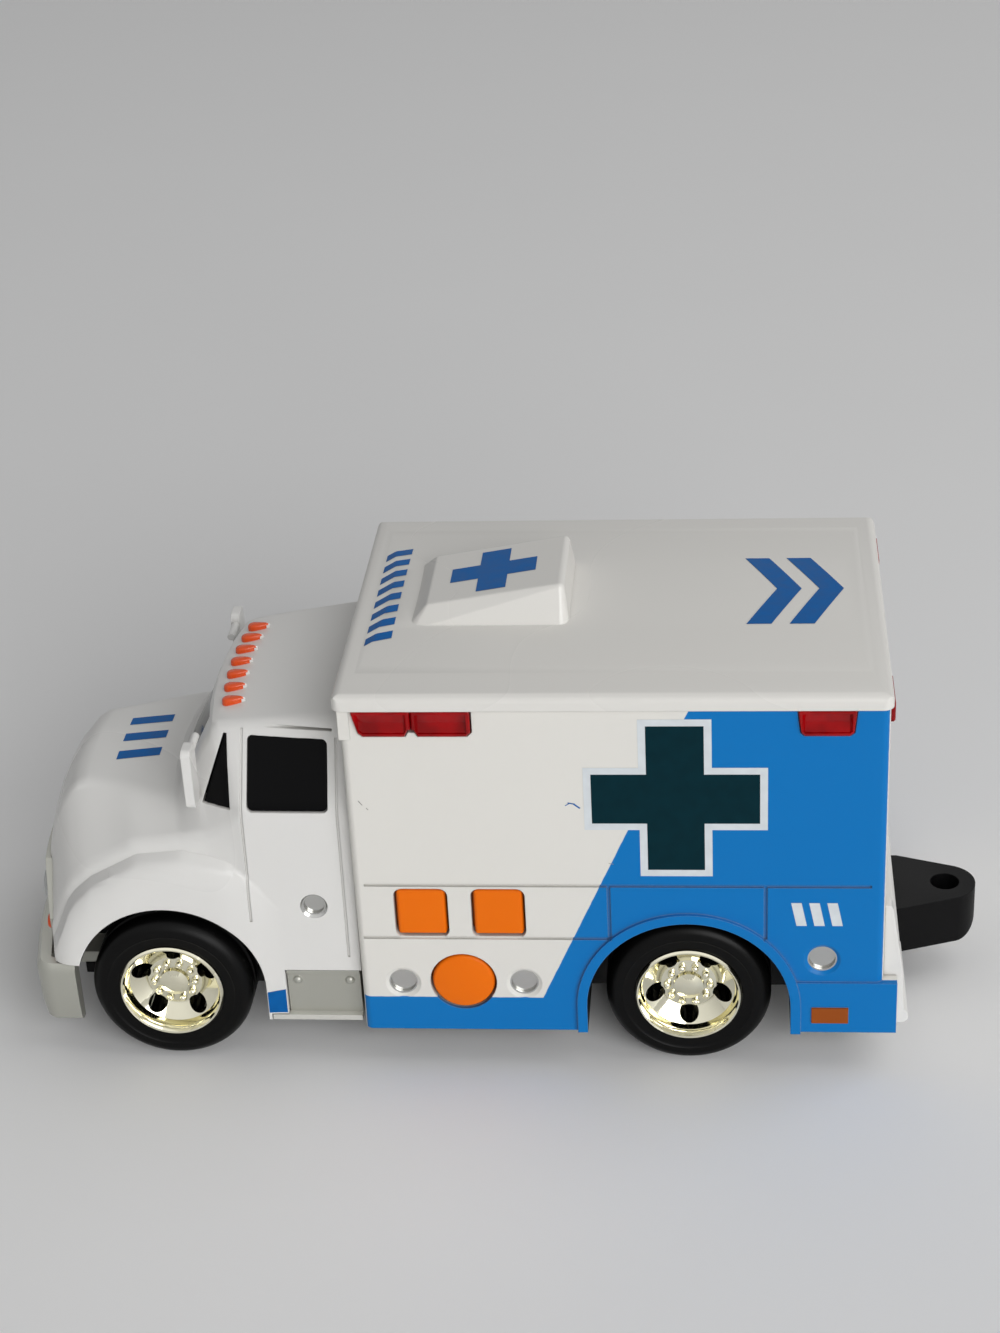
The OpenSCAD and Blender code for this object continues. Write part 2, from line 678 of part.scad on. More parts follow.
// Plan of the box with its sides moved out by grow
module box_plan(grow) {
    translate([(box_x0 + box_x1) / 2, 0])
        polygon(round_rect(box_l + 2 * grow, box_w + 2 * grow, max(0.3, box_corner + grow)));
}

// Side lens outlines, X-Z, grown by g
function front_lens_outline(g) = let (
        a = box_x1 - front_lens_back + g,
        b = box_x1 - front_lens_back - front_lens_l - g,
        n = front_led_x,
        z0 = lens_z0 - g)
    [[a, lens_z1 + g], [a - 1, z0 + 0.5], [a - 1.6, z0], [n + 1 - g, z0], [n + 0.4 - g, z0 + lens_notch],
        [n - 0.4 + g, z0 + lens_notch], [n - 1 + g, z0], [b + 0.7, z0], [b, z0 + 0.7], [b, lens_z1 + g]];
function rear_lens_outline(g) = let (
        a = box_x0 + rear_lens_ahead + rear_lens_l + g,
        b = box_x0 + rear_lens_ahead - g,
        z0 = lens_z0 - g)
    [[a, lens_z1 + g], [a - 0.5, z0 + 0.5], [a - 1, z0], [b + 1, z0], [b + 0.4, z0 + 0.5], [b, lens_z1 + g]];
function tail_lens_outline(g) = let (
        y1 = box_y - tail_lens_in + g,
        y0 = box_y - tail_lens_in - tail_lens_w - g)
    [[y1, lens_z1 + g], [y0, lens_z1 + g], [y0, tail_lens_z0 + 0.6 - g], [y0 + 0.6, tail_lens_z0 - g],
        [y1 - 0.6, tail_lens_z0 - g], [y1, tail_lens_z0 + 0.6 - g]];

// Round socket behind a lens that holds a lamp diode
module led_socket(x) {
    difference() {
        y_bar(led_d / 2 + led_gap + socket_wall, x, led_z, in_y - led_l + 1, in_y + 0.3);
        block([x - 5, 0, lens_z1], [x + 5, box_y, box_z1 + 5]);
    }
}

// Rear wheel arch with its raised edge, the well behind it and the low band at the corner
module side_mouldings() {
    translate([ra_x, 0, arch_z]) along_y(arch(arch_r + flare_w, arch_z - box_z0), in_y, box_y + flare_proud);
    intersection() {
        translate([ra_x, 0, arch_z]) along_y(arch(arch_r + well_wall, axle_z), well_y0, in_y + 0.3);
        block([box_x0, 0, box_z0], [box_x1, box_y, box_z1]);
    }
    block([box_x0 - band_tail, in_y, box_z0 + 0.3],
        [box_x0 + band_l, box_y + band_proud, box_z0 + 0.3 + band_h]);
    block([box_x0 + 5.1, in_y, box_z0 + 2.1], [box_x0 + 10.5, box_y + band_proud + 0.25, box_z0 + 4.8]);
    block([box_x1 - 1.5, in_y, lens_z0 - 0.6], [box_x1 + 0.15, box_y + 0.15, box_z1]);
    led_socket(front_led_x);
    led_socket(rear_led_x);
}

// Moulded panel lines on a side
module side_lines() {
    line_y = box_y - groove_d;
    flare_r = arch_r + flare_w;
    reach = half_chord(flare_r, low_line_z - arch_z);
    block([box_x0 + 2.1, line_y, waist_z - groove_w / 2], [box_x1 - 1.6, box_w, waist_z + groove_w / 2]);
    block([ra_x + reach + 0.2, line_y, low_line_z - groove_w / 2],
        [box_x1 - 0.9, box_w, low_line_z + groove_w / 2]);
    for (s = [-1, 1]) translate([ra_x + s * 11.4 - groove_w / 2, line_y, low_line_z])
        cube([groove_w, box_w, waist_z - low_line_z]);
}

// Moulded double doors on the back
module rear_doors() {
    door_y = box_y - 6;
    door_z0 = tail_z1 + 1.2;
    door_z1 = lens_z0 - 1.4;
    cut = box_x0 + groove_d;
    outer = box_x0 - 3;
    block([outer, -groove_w / 2, door_z0], [cut, groove_w / 2, door_z1]);
    for (z = [door_z0, door_z1]) block([outer, -door_y, z - groove_w / 2], [cut, door_y, z + groove_w / 2]);
    both_sides() {
        block([outer, door_y - groove_w / 2, door_z0], [cut, door_y + groove_w / 2, door_z1]);
        translate([0, door_y / 2 + 0.6, door_z1 - 9]) along_x(round_rect(door_y - 6, 12, 1.4), outer, cut);
    }
}

module box_shell() {
    handle_z = waist_z - 2;
    color("ivory") difference() {
        union() {
            difference() {
                translate([0, 0, box_z0]) linear_extrude(box_h) box_plan(0);
                translate([0, 0, box_z0 - 1]) linear_extrude(box_h + 2) box_plan(-wall);
            }
            both_sides() {
                side_mouldings();
                block([box_x0 - 0.9, 1.6, handle_z - 4], [box_x0 + 0.5, 2.8, handle_z + 4]);
            }
            for (p = [post_places[0], post_places[1], post_places[2]]) translate([p[0], p[1], boss_z])
                cylinder(r = post_r, h = 20);
            for (p = board_places) y_bar(board_post_r, box_x1 - p[0], p[1], board_y, in_y + 0.3);
        }
        both_sides() {
            translate([ra_x, 0, arch_z]) along_y(arch(arch_r, axle_z), well_y0 + well_wall, box_w);
            translate([ra_x, 0, axle_z]) along_y(arch(axle_d / 2 + 1, axle_z), well_y0 - 1, box_y);
            side_lines();
            along_y(front_lens_outline(fit_gap), in_y + 0.31, box_w);
            along_y(rear_lens_outline(fit_gap), in_y + 0.31, box_w);
            along_x(tail_lens_outline(fit_gap), box_x0 - 2, box_x0 + wall + 0.1);
            for (d = dish_backs) lamp_dish(box_x1 - d, dish_z, box_y, dish_d);
            lamp_dish(box_x0 + tail_dish[0], box_z0 + tail_dish[1], box_y, dish_d);
            for (x = [front_led_x, rear_led_x]) y_bar(led_d / 2 + led_gap, x, led_z, 0, box_w);
        }
        rear_doors();
        for (d = [button_back, button_back + button_pitch]) translate([box_x1 - d, 0, button_z])
            along_y(round_rect(button_w + 2 * run_gap, button_h + 2 * run_gap, button_r + run_gap),
                pressed_y, box_w);
        y_bar(round_d / 2 + run_gap, box_x1 - round_back, round_z, pressed_y, box_w);
        for (p = post_places) translate([p[0], p[1], boss_z - 1]) cylinder(d = screw_d + 0.1, h = 11);
        for (p = board_places) y_bar(screw_d / 2 - 0.25, box_x1 - p[0], p[1], board_y - 1, board_y + 3.4);
        block([box_x1 - wall - 0.5, 5 - box_y, 0], [box_x1 + 1, box_y - 5, bay_z1 + bay_wall + 0.4]);
        block([box_x0 - 4, -hitch_w / 2 - fit_gap, 0],
            [box_x0 + wall + 0.1, hitch_w / 2 + fit_gap, hitch_top + fit_gap]);
    }
}

// Roof with a crowned top, rounded edges, a wedge-shaped vent and tabs that drop inside the box
module roof_cover() {
    x0 = box_x0 - 0.4;
    x1 = box_x1 + roof_lip;
    y1 = box_y + roof_lip;
    z1 = box_z1 + roof_edge;
    edge_r = 1.2;
    crown_r = (y1 * y1 + roof_crown * roof_crown) / (2 * roof_crown);
    sweep = asin((y1 - edge_r) / crown_r);
    across = concat([[y1, box_z1]], arc([y1 - edge_r, z1 - edge_r], edge_r, 0, 75, 5),
        arc([0, z1 + roof_crown - crown_r], crown_r, 90 - sweep, 90 + sweep, 24),
        arc([edge_r - y1, z1 - edge_r], edge_r, 105, 180, 5), [[-y1, box_z1]]);
    top = z1 + roof_crown + 1;
    tab_l = 8;
    tab_t = 1.2;
    tab_drop = 3;
    color("ivory") union() {
        difference() {
            intersection() {
                along_x(across, x0, x1);
                translate([(x0 + x1) / 2, 0, box_z1]) linear_extrude(roof_edge + roof_crown + 2)
                    polygon(round_rect(x1 - x0, 2 * y1, 1.6));
                along_y(concat([[x0, box_z1]], arc([x0 + edge_r, z1 - edge_r], edge_r, 180, 105, 5),
                    [[x0 + 3, z1 + 0.7], [x0 + 8, top], [x1 - 8, top], [x1 - 3, z1 + 0.7]],
                    arc([x1 - edge_r, z1 - edge_r], edge_r, 75, 0, 5), [[x1, box_z1]]), -y1, y1);
            }
            block([box_x0 + wall, -in_y, box_z1 - 1], [box_x1 - wall, in_y, z1 - wall]);
        }
        vent(z1 + roof_crown - 0.4);
        for (d = [30, 50]) both_sides() block([box_x1 - d - tab_l, in_y - fit_gap - tab_t, box_z1 - tab_drop],
            [box_x1 - d, in_y - fit_gap, z1 - wall + 0.3]);
    }
}

module vent(z) {
    r = 0.9;
    x1 = box_x1 - vent_back;
    x0 = x1 - vent_l;
    lean = 2.1;
    hull() {
        both_sides() {
            translate([x1 - 1.6, vent_w / 2 - 1.6, z - 0.6]) cylinder(r = 1.6, h = 0.4, $fn = 32);
            translate([x0 + 1.6, vent_w / 2 - 1.6, z - 0.6]) cylinder(r = 1.6, h = 0.4, $fn = 32);
            translate([x1 - lean - r, vent_w / 2 - lean - r, z + 0.4 + vent_front_h - r]) sphere(r, $fn = 24);
            translate([x0 + 0.6 + r, vent_w / 2 - lean - r, z + 0.4 + vent_rear_h - r]) sphere(r, $fn = 24);
        }
    }
}

module front_lens_left() {
    color("red") along_y(front_lens_outline(0), in_y + 0.35, box_y + lens_proud);
}

module front_lens_right() {
    mirror([0, 1, 0]) front_lens_left();
}

module rear_lens_left() {
    color("red") along_y(rear_lens_outline(0), in_y + 0.35, box_y + lens_proud);
}

module rear_lens_right() {
    mirror([0, 1, 0]) rear_lens_left();
}

module tail_lens_left() {
    color("red") along_x(tail_lens_outline(0), box_x0 - tail_lens_proud, box_x0 + wall);
}

module tail_lens_right() {
    mirror([0, 1, 0]) tail_lens_left();
}

// Step box with two rivets over a thin tread, on a tongue that rests on the chassis
module side_step_left() {
    rivet_z = step_z1 - 2;
    rivet_in = 1.6;
    color("silver") union() {
        block([step_x0, pocket_y + fit_gap, box_z0 + 0.1], [step_x1, step_y, step_z1]);
        block([step_x0, pocket_y + fit_gap, step_z1 - 0.6], [step_x1, step_y + 0.5, step_z1]);
        block([tread_x0, pocket_y + fit_gap, box_z0], [tread_x1, cab_w / 2 + 0.1, box_z0 + tread_t]);
        block([step_x0 + 2, pocket_y - step_tongue, plate_z1],
            [step_x1 - 2, pocket_y + 1, plate_z1 + step_tongue_t]);
        for (x = [step_x0 + rivet_in, step_x1 - rivet_in]) intersection() {
            translate([x, step_y - 0.2, rivet_z]) sphere(r = 0.75, $fn = 24);
            block([x - 2, step_y - 0.1, rivet_z - 2], [x + 2, step_y + 2, rivet_z + 2]);
        }
    }
}

module side_step_right() {
    mirror([0, 1, 0]) side_step_left();
}

// Rear bumper: a stepped bar with a foot lip and an upright fin at each corner
module rear_bumper() {
    y1 = in_y - fit_gap;
    bar = [[0, plate_z0], [tail_reach - 0.7, plate_z0], [tail_reach, plate_z0 + 0.6],
        [tail_reach, plate_z0 + 1.8], [tail_reach - 0.7, plate_z0 + 2.4], [tail_reach - 1, tail_z1 - 0.6],
        [tail_reach - 1.5, tail_z1], [0, tail_z1]];
    fin = [[0, tail_z1 - 2], [tail_reach - 1, tail_z1 - 2], [tail_reach - 1, tail_z1 - 0.6],
        [tail_reach - 2.6, fin_z1 - 0.7], [tail_reach - 3, fin_z1], [0, fin_z1]];
    color("white") difference() {
        union() {
            along_y([for (p = bar) [box_x0 - p[0], p[1]]], -y1, y1);
            both_sides() along_y([for (p = fin) [box_x0 - p[0], p[1]]], y1 - fin_w, y1);
        }
        block([box_x0 - 9, -hitch_w / 2 - fit_gap, 0],
            [box_x0 + 1, hitch_w / 2 + fit_gap, hitch_top + fit_gap]);
    }
}

// Tow hitch: a tapered tongue with a drilled eye, held inside by a flange on the chassis
hitch_hole_x = hitch_x + hitch_eye_d / 2;
module tow_hitch() {
    eye_r = hitch_eye_d / 2;
    root_x = box_x0 - tail_reach;
    inner_x = box_x0 + wall + fit_gap;
    lap_x = inner_x + 1;
    flange_y1 = rear_post_y - boss_r - 0.3;
    lean = asin((hitch_w / 2 - eye_r) / (root_x - hitch_hole_x));
    end_r = 3;
    plan = concat([[lap_x, hitch_w / 2], [root_x, hitch_w / 2]],
        arc([hitch_hole_x, 0], eye_r, 90 + lean, 270 - lean, 32),
        [[root_x, -hitch_w / 2], [lap_x, -hitch_w / 2]]);
    side = concat([[lap_x, hitch_top], [hitch_x - 1, hitch_top], [hitch_x - 1, box_z0 + end_r]],
        [[hitch_x, box_z0 + end_r]], arc([hitch_x + end_r, box_z0 + 0.1 + end_r], end_r, 180, 270, 8),
        [[box_x0 - 0.3, box_z0 + 0.1], [box_x0 - 0.3, plate_z1], [lap_x, plate_z1]]);
    color([0.1, 0.1, 0.1]) difference() {
        union() {
            intersection() {
                linear_extrude(hitch_top + 1) polygon(plan);
                along_y(side, -box_y, box_y);
            }
            block([inner_x, -flange_y1, plate_z1], [inner_x + 3, flange_y1, hitch_top]);
        }
        translate([hitch_hole_x, 0, -1]) cylinder(d = hitch_hole_d, h = hitch_top + 5);
    }
}

// Half outline of the chassis plate from back to front
chassis_x1 = fa_x + front_arch_r + 2;
chassis_half = let (
        y1 = in_y - plate_gap,
        y2 = pocket_y - 0.3,
        y3 = well_y0 - 0.3,
        rear = arch_r + well_wall + 0.3,
        front = front_arch_r + well_wall + 0.3)
    [[box_x0 + wall + plate_gap, y1], [ra_x - rear, y1], [ra_x - rear, y3], [ra_x + rear, y3],
        [ra_x + rear, y1], [box_x1 - wall - plate_gap, y1], [box_x1 - wall - plate_gap, y2],
        [fa_x - front, y2], [fa_x - front, y3], [chassis_x1, y3]];

// Chassis: a plate with axle bearings, screw bosses, the battery bay and the loudspeaker seat
module chassis() {
    bearing_y0 = 9;
    bearing_y1 = well_y0 - 0.6;
    bearing_w = 7.2;
    bearing_z1 = axle_z + 3.2;
    bay_x1 = bay_x0 + bay_l;
    bay_y0 = bay_y - bay_w / 2;
    bay_y1 = bay_y + bay_w / 2;
    tail_x = bay_x1 + door_tail;
    grille_d = 1.8;
    color([0.12, 0.12, 0.12]) difference() {
        union() {
            translate([0, 0, plate_z0]) linear_extrude(plate_t) polygon(concat(chassis_half,
                [for (i = [len(chassis_half) - 1:-1:0]) [chassis_half[i][0], -chassis_half[i][1]]]));
            for (x = [fa_x, ra_x]) both_sides()
                block([x - bearing_w / 2, bearing_y0, plate_z0 + 0.5],
                    [x + bearing_w / 2, bearing_y1, bearing_z1]);
            intersection() {
                for (p = post_places) translate([p[0], p[1], plate_z0])
                    cylinder(r = boss_r, h = boss_z - plate_z0);
                block([box_x0 + wall + plate_gap, -box_y, 0], [nose_x, box_y, boss_z]);
            }
            block([bay_x0 - bay_wall, bay_y0 - bay_wall, plate_z0 + 0.5],
                [bay_x1 + bay_wall, bay_y1 + bay_wall, bay_z1 + bay_wall]);
            translate([door_screw_x, bay_y, plate_z0]) cylinder(r = 2.6, h = bay_z1 - plate_z0);
            translate([speaker_x, speaker_y, plate_z0 + 0.5])
                cylinder(d = speaker_d + 2 * (speaker_gap + speaker_ring), h = plate_t + 2.5);
        }
        for (x = [fa_x, ra_x]) y_bar(axle_d / 2 + axle_gap, x, axle_z, -box_y, box_y);
        for (p = post_places) translate([p[0], p[1], plate_z0 - 1]) {
            cylinder(d = screw_d + 0.4, h = boss_z - plate_z0 + 5);
            cylinder(d = screw_head_d + 0.6, h = 1 + screw_head_h + 0.4);
        }
        block([bay_x0, bay_y0, 0], [bay_x1, bay_y1, bay_z1]);
        block([bay_x0 - door_rim - fit_gap, bay_y0 - door_rim - fit_gap, 0],
            [tail_x + fit_gap, bay_y1 + door_rim + fit_gap, plate_z0 + door_t]);
        translate([door_screw_x, bay_y, 0]) cylinder(d = screw_d + 0.1, h = bay_z1 - 0.8);
        translate([speaker_x, speaker_y, plate_z1]) cylinder(d = speaker_d + 2 * speaker_gap, h = 20);
        for (i = [0:6]) rotate_about(speaker_x, speaker_y, i * 60) translate([i == 6 ? 0 : 5, 0, 0])
            cylinder(d = grille_d, h = plate_z1 + 1);
    }
}

// Turns a child about an upright axis through x, y
module rotate_about(x, y, angle) {
    translate([x, y, 0]) rotate([0, 0, angle]) children();
}

module battery_door() {
    bay_x1 = bay_x0 + bay_l;
    y0 = bay_y - bay_w / 2 - door_rim;
    y1 = bay_y + bay_w / 2 + door_rim;
    color([0.12, 0.12, 0.12]) difference() {
        block([bay_x0 - door_rim, y0, plate_z0], [bay_x1 + door_tail, y1, plate_z0 + door_t]);
        translate([door_screw_x, bay_y, 0]) cylinder(d = screw_d + 0.4, h = 20);
        for (i = [0:4]) block([bay_x0 + 3 + i * 2, y0 + 4, 0], [bay_x0 + 4 + i * 2, y1 - 4, plate_z0 + 0.4]);
    }
}

module button_cells() {
    color("silver") for (i = [0:cell_count - 1])
        translate([bay_x0 + 0.2 + cell_pitch * (i + 0.5), bay_y, cell_z0]) {
            cylinder(d = cell_d - 1.6, h = 0.5);
            translate([0, 0, 0.4]) cylinder(d = cell_d, h = cell_h - 0.4);
        }
}

// Plated strips: two over the cells and one under them
module battery_contacts() {
    x0 = bay_x0 + 0.2;
    z1 = cell_z0 + cell_h;
    color("silver") {
        block([x0 + 2, bay_y - 3, z1], [x0 + cell_pitch - 2, bay_y + 3, z1 + contact_t]);
        block([x0 + cell_pitch + 2, bay_y - 3, z1],
            [x0 + cell_pitch * cell_count - 2, bay_y + 3, z1 + contact_t]);
        block([x0 + 2, bay_y - 3, cell_z0 - contact_t], [x0 + cell_pitch * 2 - 2, bay_y + 3, cell_z0]);
    }
}

// Loudspeaker: a steel basket with a domed cone and a magnet on top
module speaker() {
    color("dimgray") translate([speaker_x, speaker_y, plate_z1]) rotate_extrude() polygon([[0, 1.2],
        [speaker_d * 0.2, 0.9], [speaker_d / 2 - 1, 0], [speaker_d / 2, 0], [speaker_d / 2, 1.4],
        [speaker_d * 0.3, speaker_h - 1.6], [speaker_d * 0.28, speaker_h], [0, speaker_h]]);
}

// Circuit board on three posts behind the buttons, with a chip under a round blob
module circuit_board() {
    x1 = box_x1 - button_back + board_margin;
    x0 = box_x1 - button_back - button_pitch - board_margin;
    blob_r = 4.2;
    color("green") difference() {
        union() {
            block([x0, board_y - board_t, box_z0 + board_low], [x1, board_y, button_z + board_high]);
            translate([box_x1 - round_back, board_y - board_t + 1.2, button_z - 4]) intersection() {
                sphere(r = blob_r);
                block([-blob_r, -3, -blob_r], [blob_r, -0.4, blob_r]);
            }
        }
        for (p = board_places) y_bar(screw_d / 2, box_x1 - p[0], p[1], 0, box_y);
    }
}

// Silicone sheet with a low dome under each button
module button_pad() {
    x1 = box_x1 - button_back + board_margin;
    x0 = box_x1 - button_back - button_pitch - board_margin;
    color("lightgray") difference() {
        union() {
            block([x0, board_y, box_z0 + board_low + 0.4], [x1, pad_y, button_z + board_high - 4.6]);
            for (d = [button_back, button_back + button_pitch])
                y_bar(dome_r, box_x1 - d, button_z, pad_y - 0.1, pad_y + dome_h);
            y_bar(dome_r, box_x1 - round_back, round_z, pad_y - 0.1, pad_y + dome_h);
        }
        for (p = [board_places[0], board_places[1]]) y_bar(board_post_r + 0.2, box_x1 - p[0], p[1], 0, box_y);
    }
}

module led(x) {
    translate([x, in_y + 0.2, led_z]) rotate([90, 0, 0]) {
        translate([0, 0, led_d / 2]) sphere(d = led_d);
        translate([0, 0, led_d / 2]) cylinder(d = led_d, h = led_l - led_d / 2);
    }
}

module front_leds() {
    color("salmon") both_sides() led(front_led_x);
}

module rear_leds() {
    color("salmon") both_sides() led(rear_led_x);
}

// Square button: a cap with rounded edges on a flange behind the wall
square_set = 0.2;
module square_button(back) {
    face_y = box_y - square_set;
    r = 0.7;
    side = concat([[-button_h / 2, flange_y - 1]], [[button_h / 2, flange_y - 1]],
        arc([button_h / 2 - r, face_y - r], r, 0, 90, 5), arc([r - button_h / 2, face_y - r], r, 90, 180, 5));
    plan = concat([[-button_w / 2, flange_y - 1]], [[button_w / 2, flange_y - 1]],
        arc([button_w / 2 - r, face_y - r], r, 0, 90, 5), arc([r - button_w / 2, face_y - r], r, 90, 180, 5));
    color("orange") translate([box_x1 - back, 0, button_z]) union() {
        intersection() {
            along_y(round_rect(button_w, button_h, button_r), flange_y - 0.5, face_y);
            translate([0, 0, -button_h]) linear_extrude(button_h * 2) polygon(plan);
            translate([-button_w, 0, 0]) rotate([0, 90, 0]) linear_extrude(button_w * 2) polygon(side);
        }
        along_y(round_rect(button_w + 2 * flange_w, button_h + 2 * flange_w, button_r),
            flange_y - flange_t, flange_y);
    }
}

module square_button_front() {
    square_button(button_back);
}

module square_button_rear() {
    square_button(button_back + button_pitch);
}

// Round button: a slightly domed cap on a flange
round_proud = 0.3;
module round_button() {
    r = round_d / 2;
    cap = box_y + round_proud - flange_y + flange_t;
    color("orange") translate([box_x1 - round_back, flange_y - flange_t, round_z]) rotate([-90, 0, 0])
        rotate_extrude($fn = 72) polygon(concat(
            [[0, 0], [r + flange_w, 0], [r + flange_w, flange_t], [r, flange_t]],
            arc([r - 0.7, cap - 0.95], 0.7, 0, 70, 5), [[r * 0.5, cap - 0.06], [0, cap]]));
}

// Axle with its ends in the hubs
axle_end = 4.9;
module axle(x) {
    color("lightgray") y_bar(axle_d / 2, x, axle_z, -wheel_y0 - axle_end, wheel_y0 + axle_end);
}

module front_axle() {
    axle(fa_x);
}

module rear_axle() {
    axle(ra_x);
}

// Places a wheel piece, drawn with its axis up and its outer face on top, at an axle end
module at_wheel(x, side) {
    mirror([0, side > 0 ? 0 : 1, 0]) translate([x, wheel_y0, axle_z]) rotate([-90, 0, 0]) children();
}

// Hub: a dished disc with round holes, a ring of dome nuts and a centre cap
seat_drop = 0.7;
lip_w = 0.5;
tyre_fit = 0.05;
module hub(x, side, turned) {
    rim_r = rim_d / 2;
    seat_r = rim_r - seat_drop;
    bore_r = axle_d / 2 + 0.02;
    w = tyre_w;
    hole_r = rim_r * 0.66;
    nut_r = rim_r * 0.4;
    color("gold") at_wheel(x, side) difference() {
        union() {
            rotate_extrude($fn = 96) polygon([
                [bore_r, 0.8], [3.2, 0.8], [3.2, w - 6], [seat_r - 1.2, w - 5.6],
                [seat_r - 1.2, 0.8], [seat_r, 0.8], [seat_r, w - 0.9], [rim_r, w - 0.7], [rim_r, w - 0.2],
                [rim_r - 0.25, w + 0.1], [rim_r - lip_w, w], [rim_r - lip_w - 0.35, w - 0.7],
                [rim_r - 1.1, w - 2.2], [rim_r * 0.56, w - 3.8], [rim_r * 0.52, w - 3.2],
                [nut_r - 0.9, w - 3],
                [nut_r - 1, w - 2.4], [rim_r * 0.14, w - 2], [0, w - 1.9], [0, axle_end + 0.1],
                [bore_r, axle_end + 0.1]]);
            for (i = [0:hub_nuts - 1]) rotate([0, 0, 360 / hub_nuts * i]) translate([nut_r, 0, w - 3.3]) {
                cylinder(d = 1.1, h = 0.6, $fn = 16);
                translate([0, 0, 0.6]) sphere(d = 1.1, $fn = 16);
            }
        }
        for (i = [0:hub_holes - 1]) rotate([0, 0, turned + 360 / hub_holes * i])
            translate([hole_r, 0, 2]) cylinder(d = hub_hole_d, h = w);
    }
}

module hub_front_left() {
    hub(fa_x, 1, -90);
}

module hub_front_right() {
    hub(fa_x, -1, -90);
}

module hub_rear_left() {
    hub(ra_x, 1, 90);
}

module hub_rear_right() {
    hub(ra_x, -1, 90);
}

// Tyre: round shoulders, a raised sidewall ring and two grooves in the tread
module tyre(x, side) {
    r = tyre_d / 2;
    bore = rim_d / 2 - seat_drop + tyre_fit;
    w = tyre_w;
    shoulder = 2.2;
    groove = 0.5;
    color([0.07, 0.07, 0.07]) at_wheel(x, side) rotate_extrude($fn = 96) polygon(concat(
        [[bore, 0.5], [r - 3.4, 0.2], [r - shoulder, 0.1]],
        arc([r - shoulder, shoulder + 0.1], shoulder, -75, -10, 6),
        [[r, 3.2], [r - groove, 3.4], [r - groove, 3.9], [r, 4.1], [r, w - 4.1], [r - groove, w - 3.9],
            [r - groove, w - 3.4], [r, w - 3.2]],
        arc([r - shoulder, w - shoulder - 0.1], shoulder, 10, 75, 6),
        [[r - shoulder - 0.3, w - 0.1], [r - 2.9, w - 0.35], [rim_d / 2 + 0.1, w - 0.45],
            [rim_d / 2 + 0.1, w - 1.1], [bore, w - 1.1]]));
}

module tyre_front_left() {
    tyre(fa_x, 1);
}

module tyre_front_right() {
    tyre(fa_x, -1);
}

module tyre_rear_left() {
    tyre(ra_x, 1);
}

module tyre_rear_right() {
    tyre(ra_x, -1);
}

// Pan-head screw standing on its head, with a cross recess
module screw(d, l, head_d, head_h) {
    difference() {
        union() {
            cylinder(d = head_d, h = head_h);
            cylinder(d = d, h = head_h + l);
        }
        for (a = [0, 90]) rotate([0, 0, a]) block([-head_d * 0.3, -0.25, -1], [head_d * 0.3, 0.25, 0.6]);
    }
}

module body_screws() {
    color("silver") for (p = post_places) translate([p[0], p[1], plate_z0 + 0.4])
        screw(screw_d, screw_l, screw_head_d, screw_head_h);
}

module board_screws() {
    color("silver") for (p = board_places) translate([box_x1 - p[0], board_y - board_t - 1, p[1]])
        rotate([-90, 0, 0]) screw(1.6, board_t + 2.6, 3, 1);
}

module door_screw() {
    color("silver") translate([door_screw_x, bay_y, plate_z0 - 1]) screw(screw_d, 6, screw_head_d, 1);
}

cab_shell();
cab_glazing();
grille_panel();
front_bumper();
mirror_left();
mirror_right();
box_shell();
roof_cover();
front_lens_left();
front_lens_right();
rear_lens_left();
rear_lens_right();
tail_lens_left();
tail_lens_right();
side_step_left();
side_step_right();
rear_bumper();
tow_hitch();
chassis();
battery_door();
button_cells();
battery_contacts();
speaker();
circuit_board();
button_pad();
front_leds();
rear_leds();
square_button_front();
square_button_rear();
round_button();
front_axle();
hub_front_left();
hub_front_right();
tyre_front_left();
tyre_front_right();
rear_axle();
hub_rear_left();
hub_rear_right();
tyre_rear_left();
tyre_rear_right();
body_screws();
board_screws();
door_screw();
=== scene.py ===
import json
import math
import bmesh
import bpy
from mathutils import Matrix, Vector
from mathutils.bvhtree import BVHTree

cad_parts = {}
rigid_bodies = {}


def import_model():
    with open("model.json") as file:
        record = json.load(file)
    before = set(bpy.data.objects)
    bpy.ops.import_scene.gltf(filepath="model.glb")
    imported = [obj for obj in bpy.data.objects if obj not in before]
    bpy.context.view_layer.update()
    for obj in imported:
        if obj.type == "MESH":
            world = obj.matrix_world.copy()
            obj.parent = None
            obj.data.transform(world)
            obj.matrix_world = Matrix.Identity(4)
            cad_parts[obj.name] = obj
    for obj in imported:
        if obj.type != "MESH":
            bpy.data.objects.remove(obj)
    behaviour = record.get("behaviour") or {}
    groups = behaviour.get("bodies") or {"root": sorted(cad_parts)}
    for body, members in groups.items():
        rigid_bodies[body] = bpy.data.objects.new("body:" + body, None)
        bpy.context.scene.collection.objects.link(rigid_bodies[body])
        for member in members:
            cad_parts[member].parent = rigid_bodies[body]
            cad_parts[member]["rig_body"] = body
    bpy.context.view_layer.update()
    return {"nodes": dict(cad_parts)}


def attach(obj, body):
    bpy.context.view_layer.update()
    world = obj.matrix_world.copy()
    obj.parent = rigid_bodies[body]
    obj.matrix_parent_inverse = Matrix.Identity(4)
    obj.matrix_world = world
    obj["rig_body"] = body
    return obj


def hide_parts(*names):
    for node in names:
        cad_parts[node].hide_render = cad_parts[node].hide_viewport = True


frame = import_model()
nodes = frame["nodes"]
mm = 0.001  # all places are in mm: +X forward, +Y the driver's side, Z up from the ground
weldMm = {"own": 0.001, "cad": 0.002}
flatDegrees = 0.3


def linear(code):
    parts = [int(code[i:i + 2], 16) / 255 for i in (1, 3, 5)]
    return tuple(c / 12.92 if c <= 0.04045 else ((c + 0.055) / 1.055) ** 2.4 for c in parts) + (1.0,)


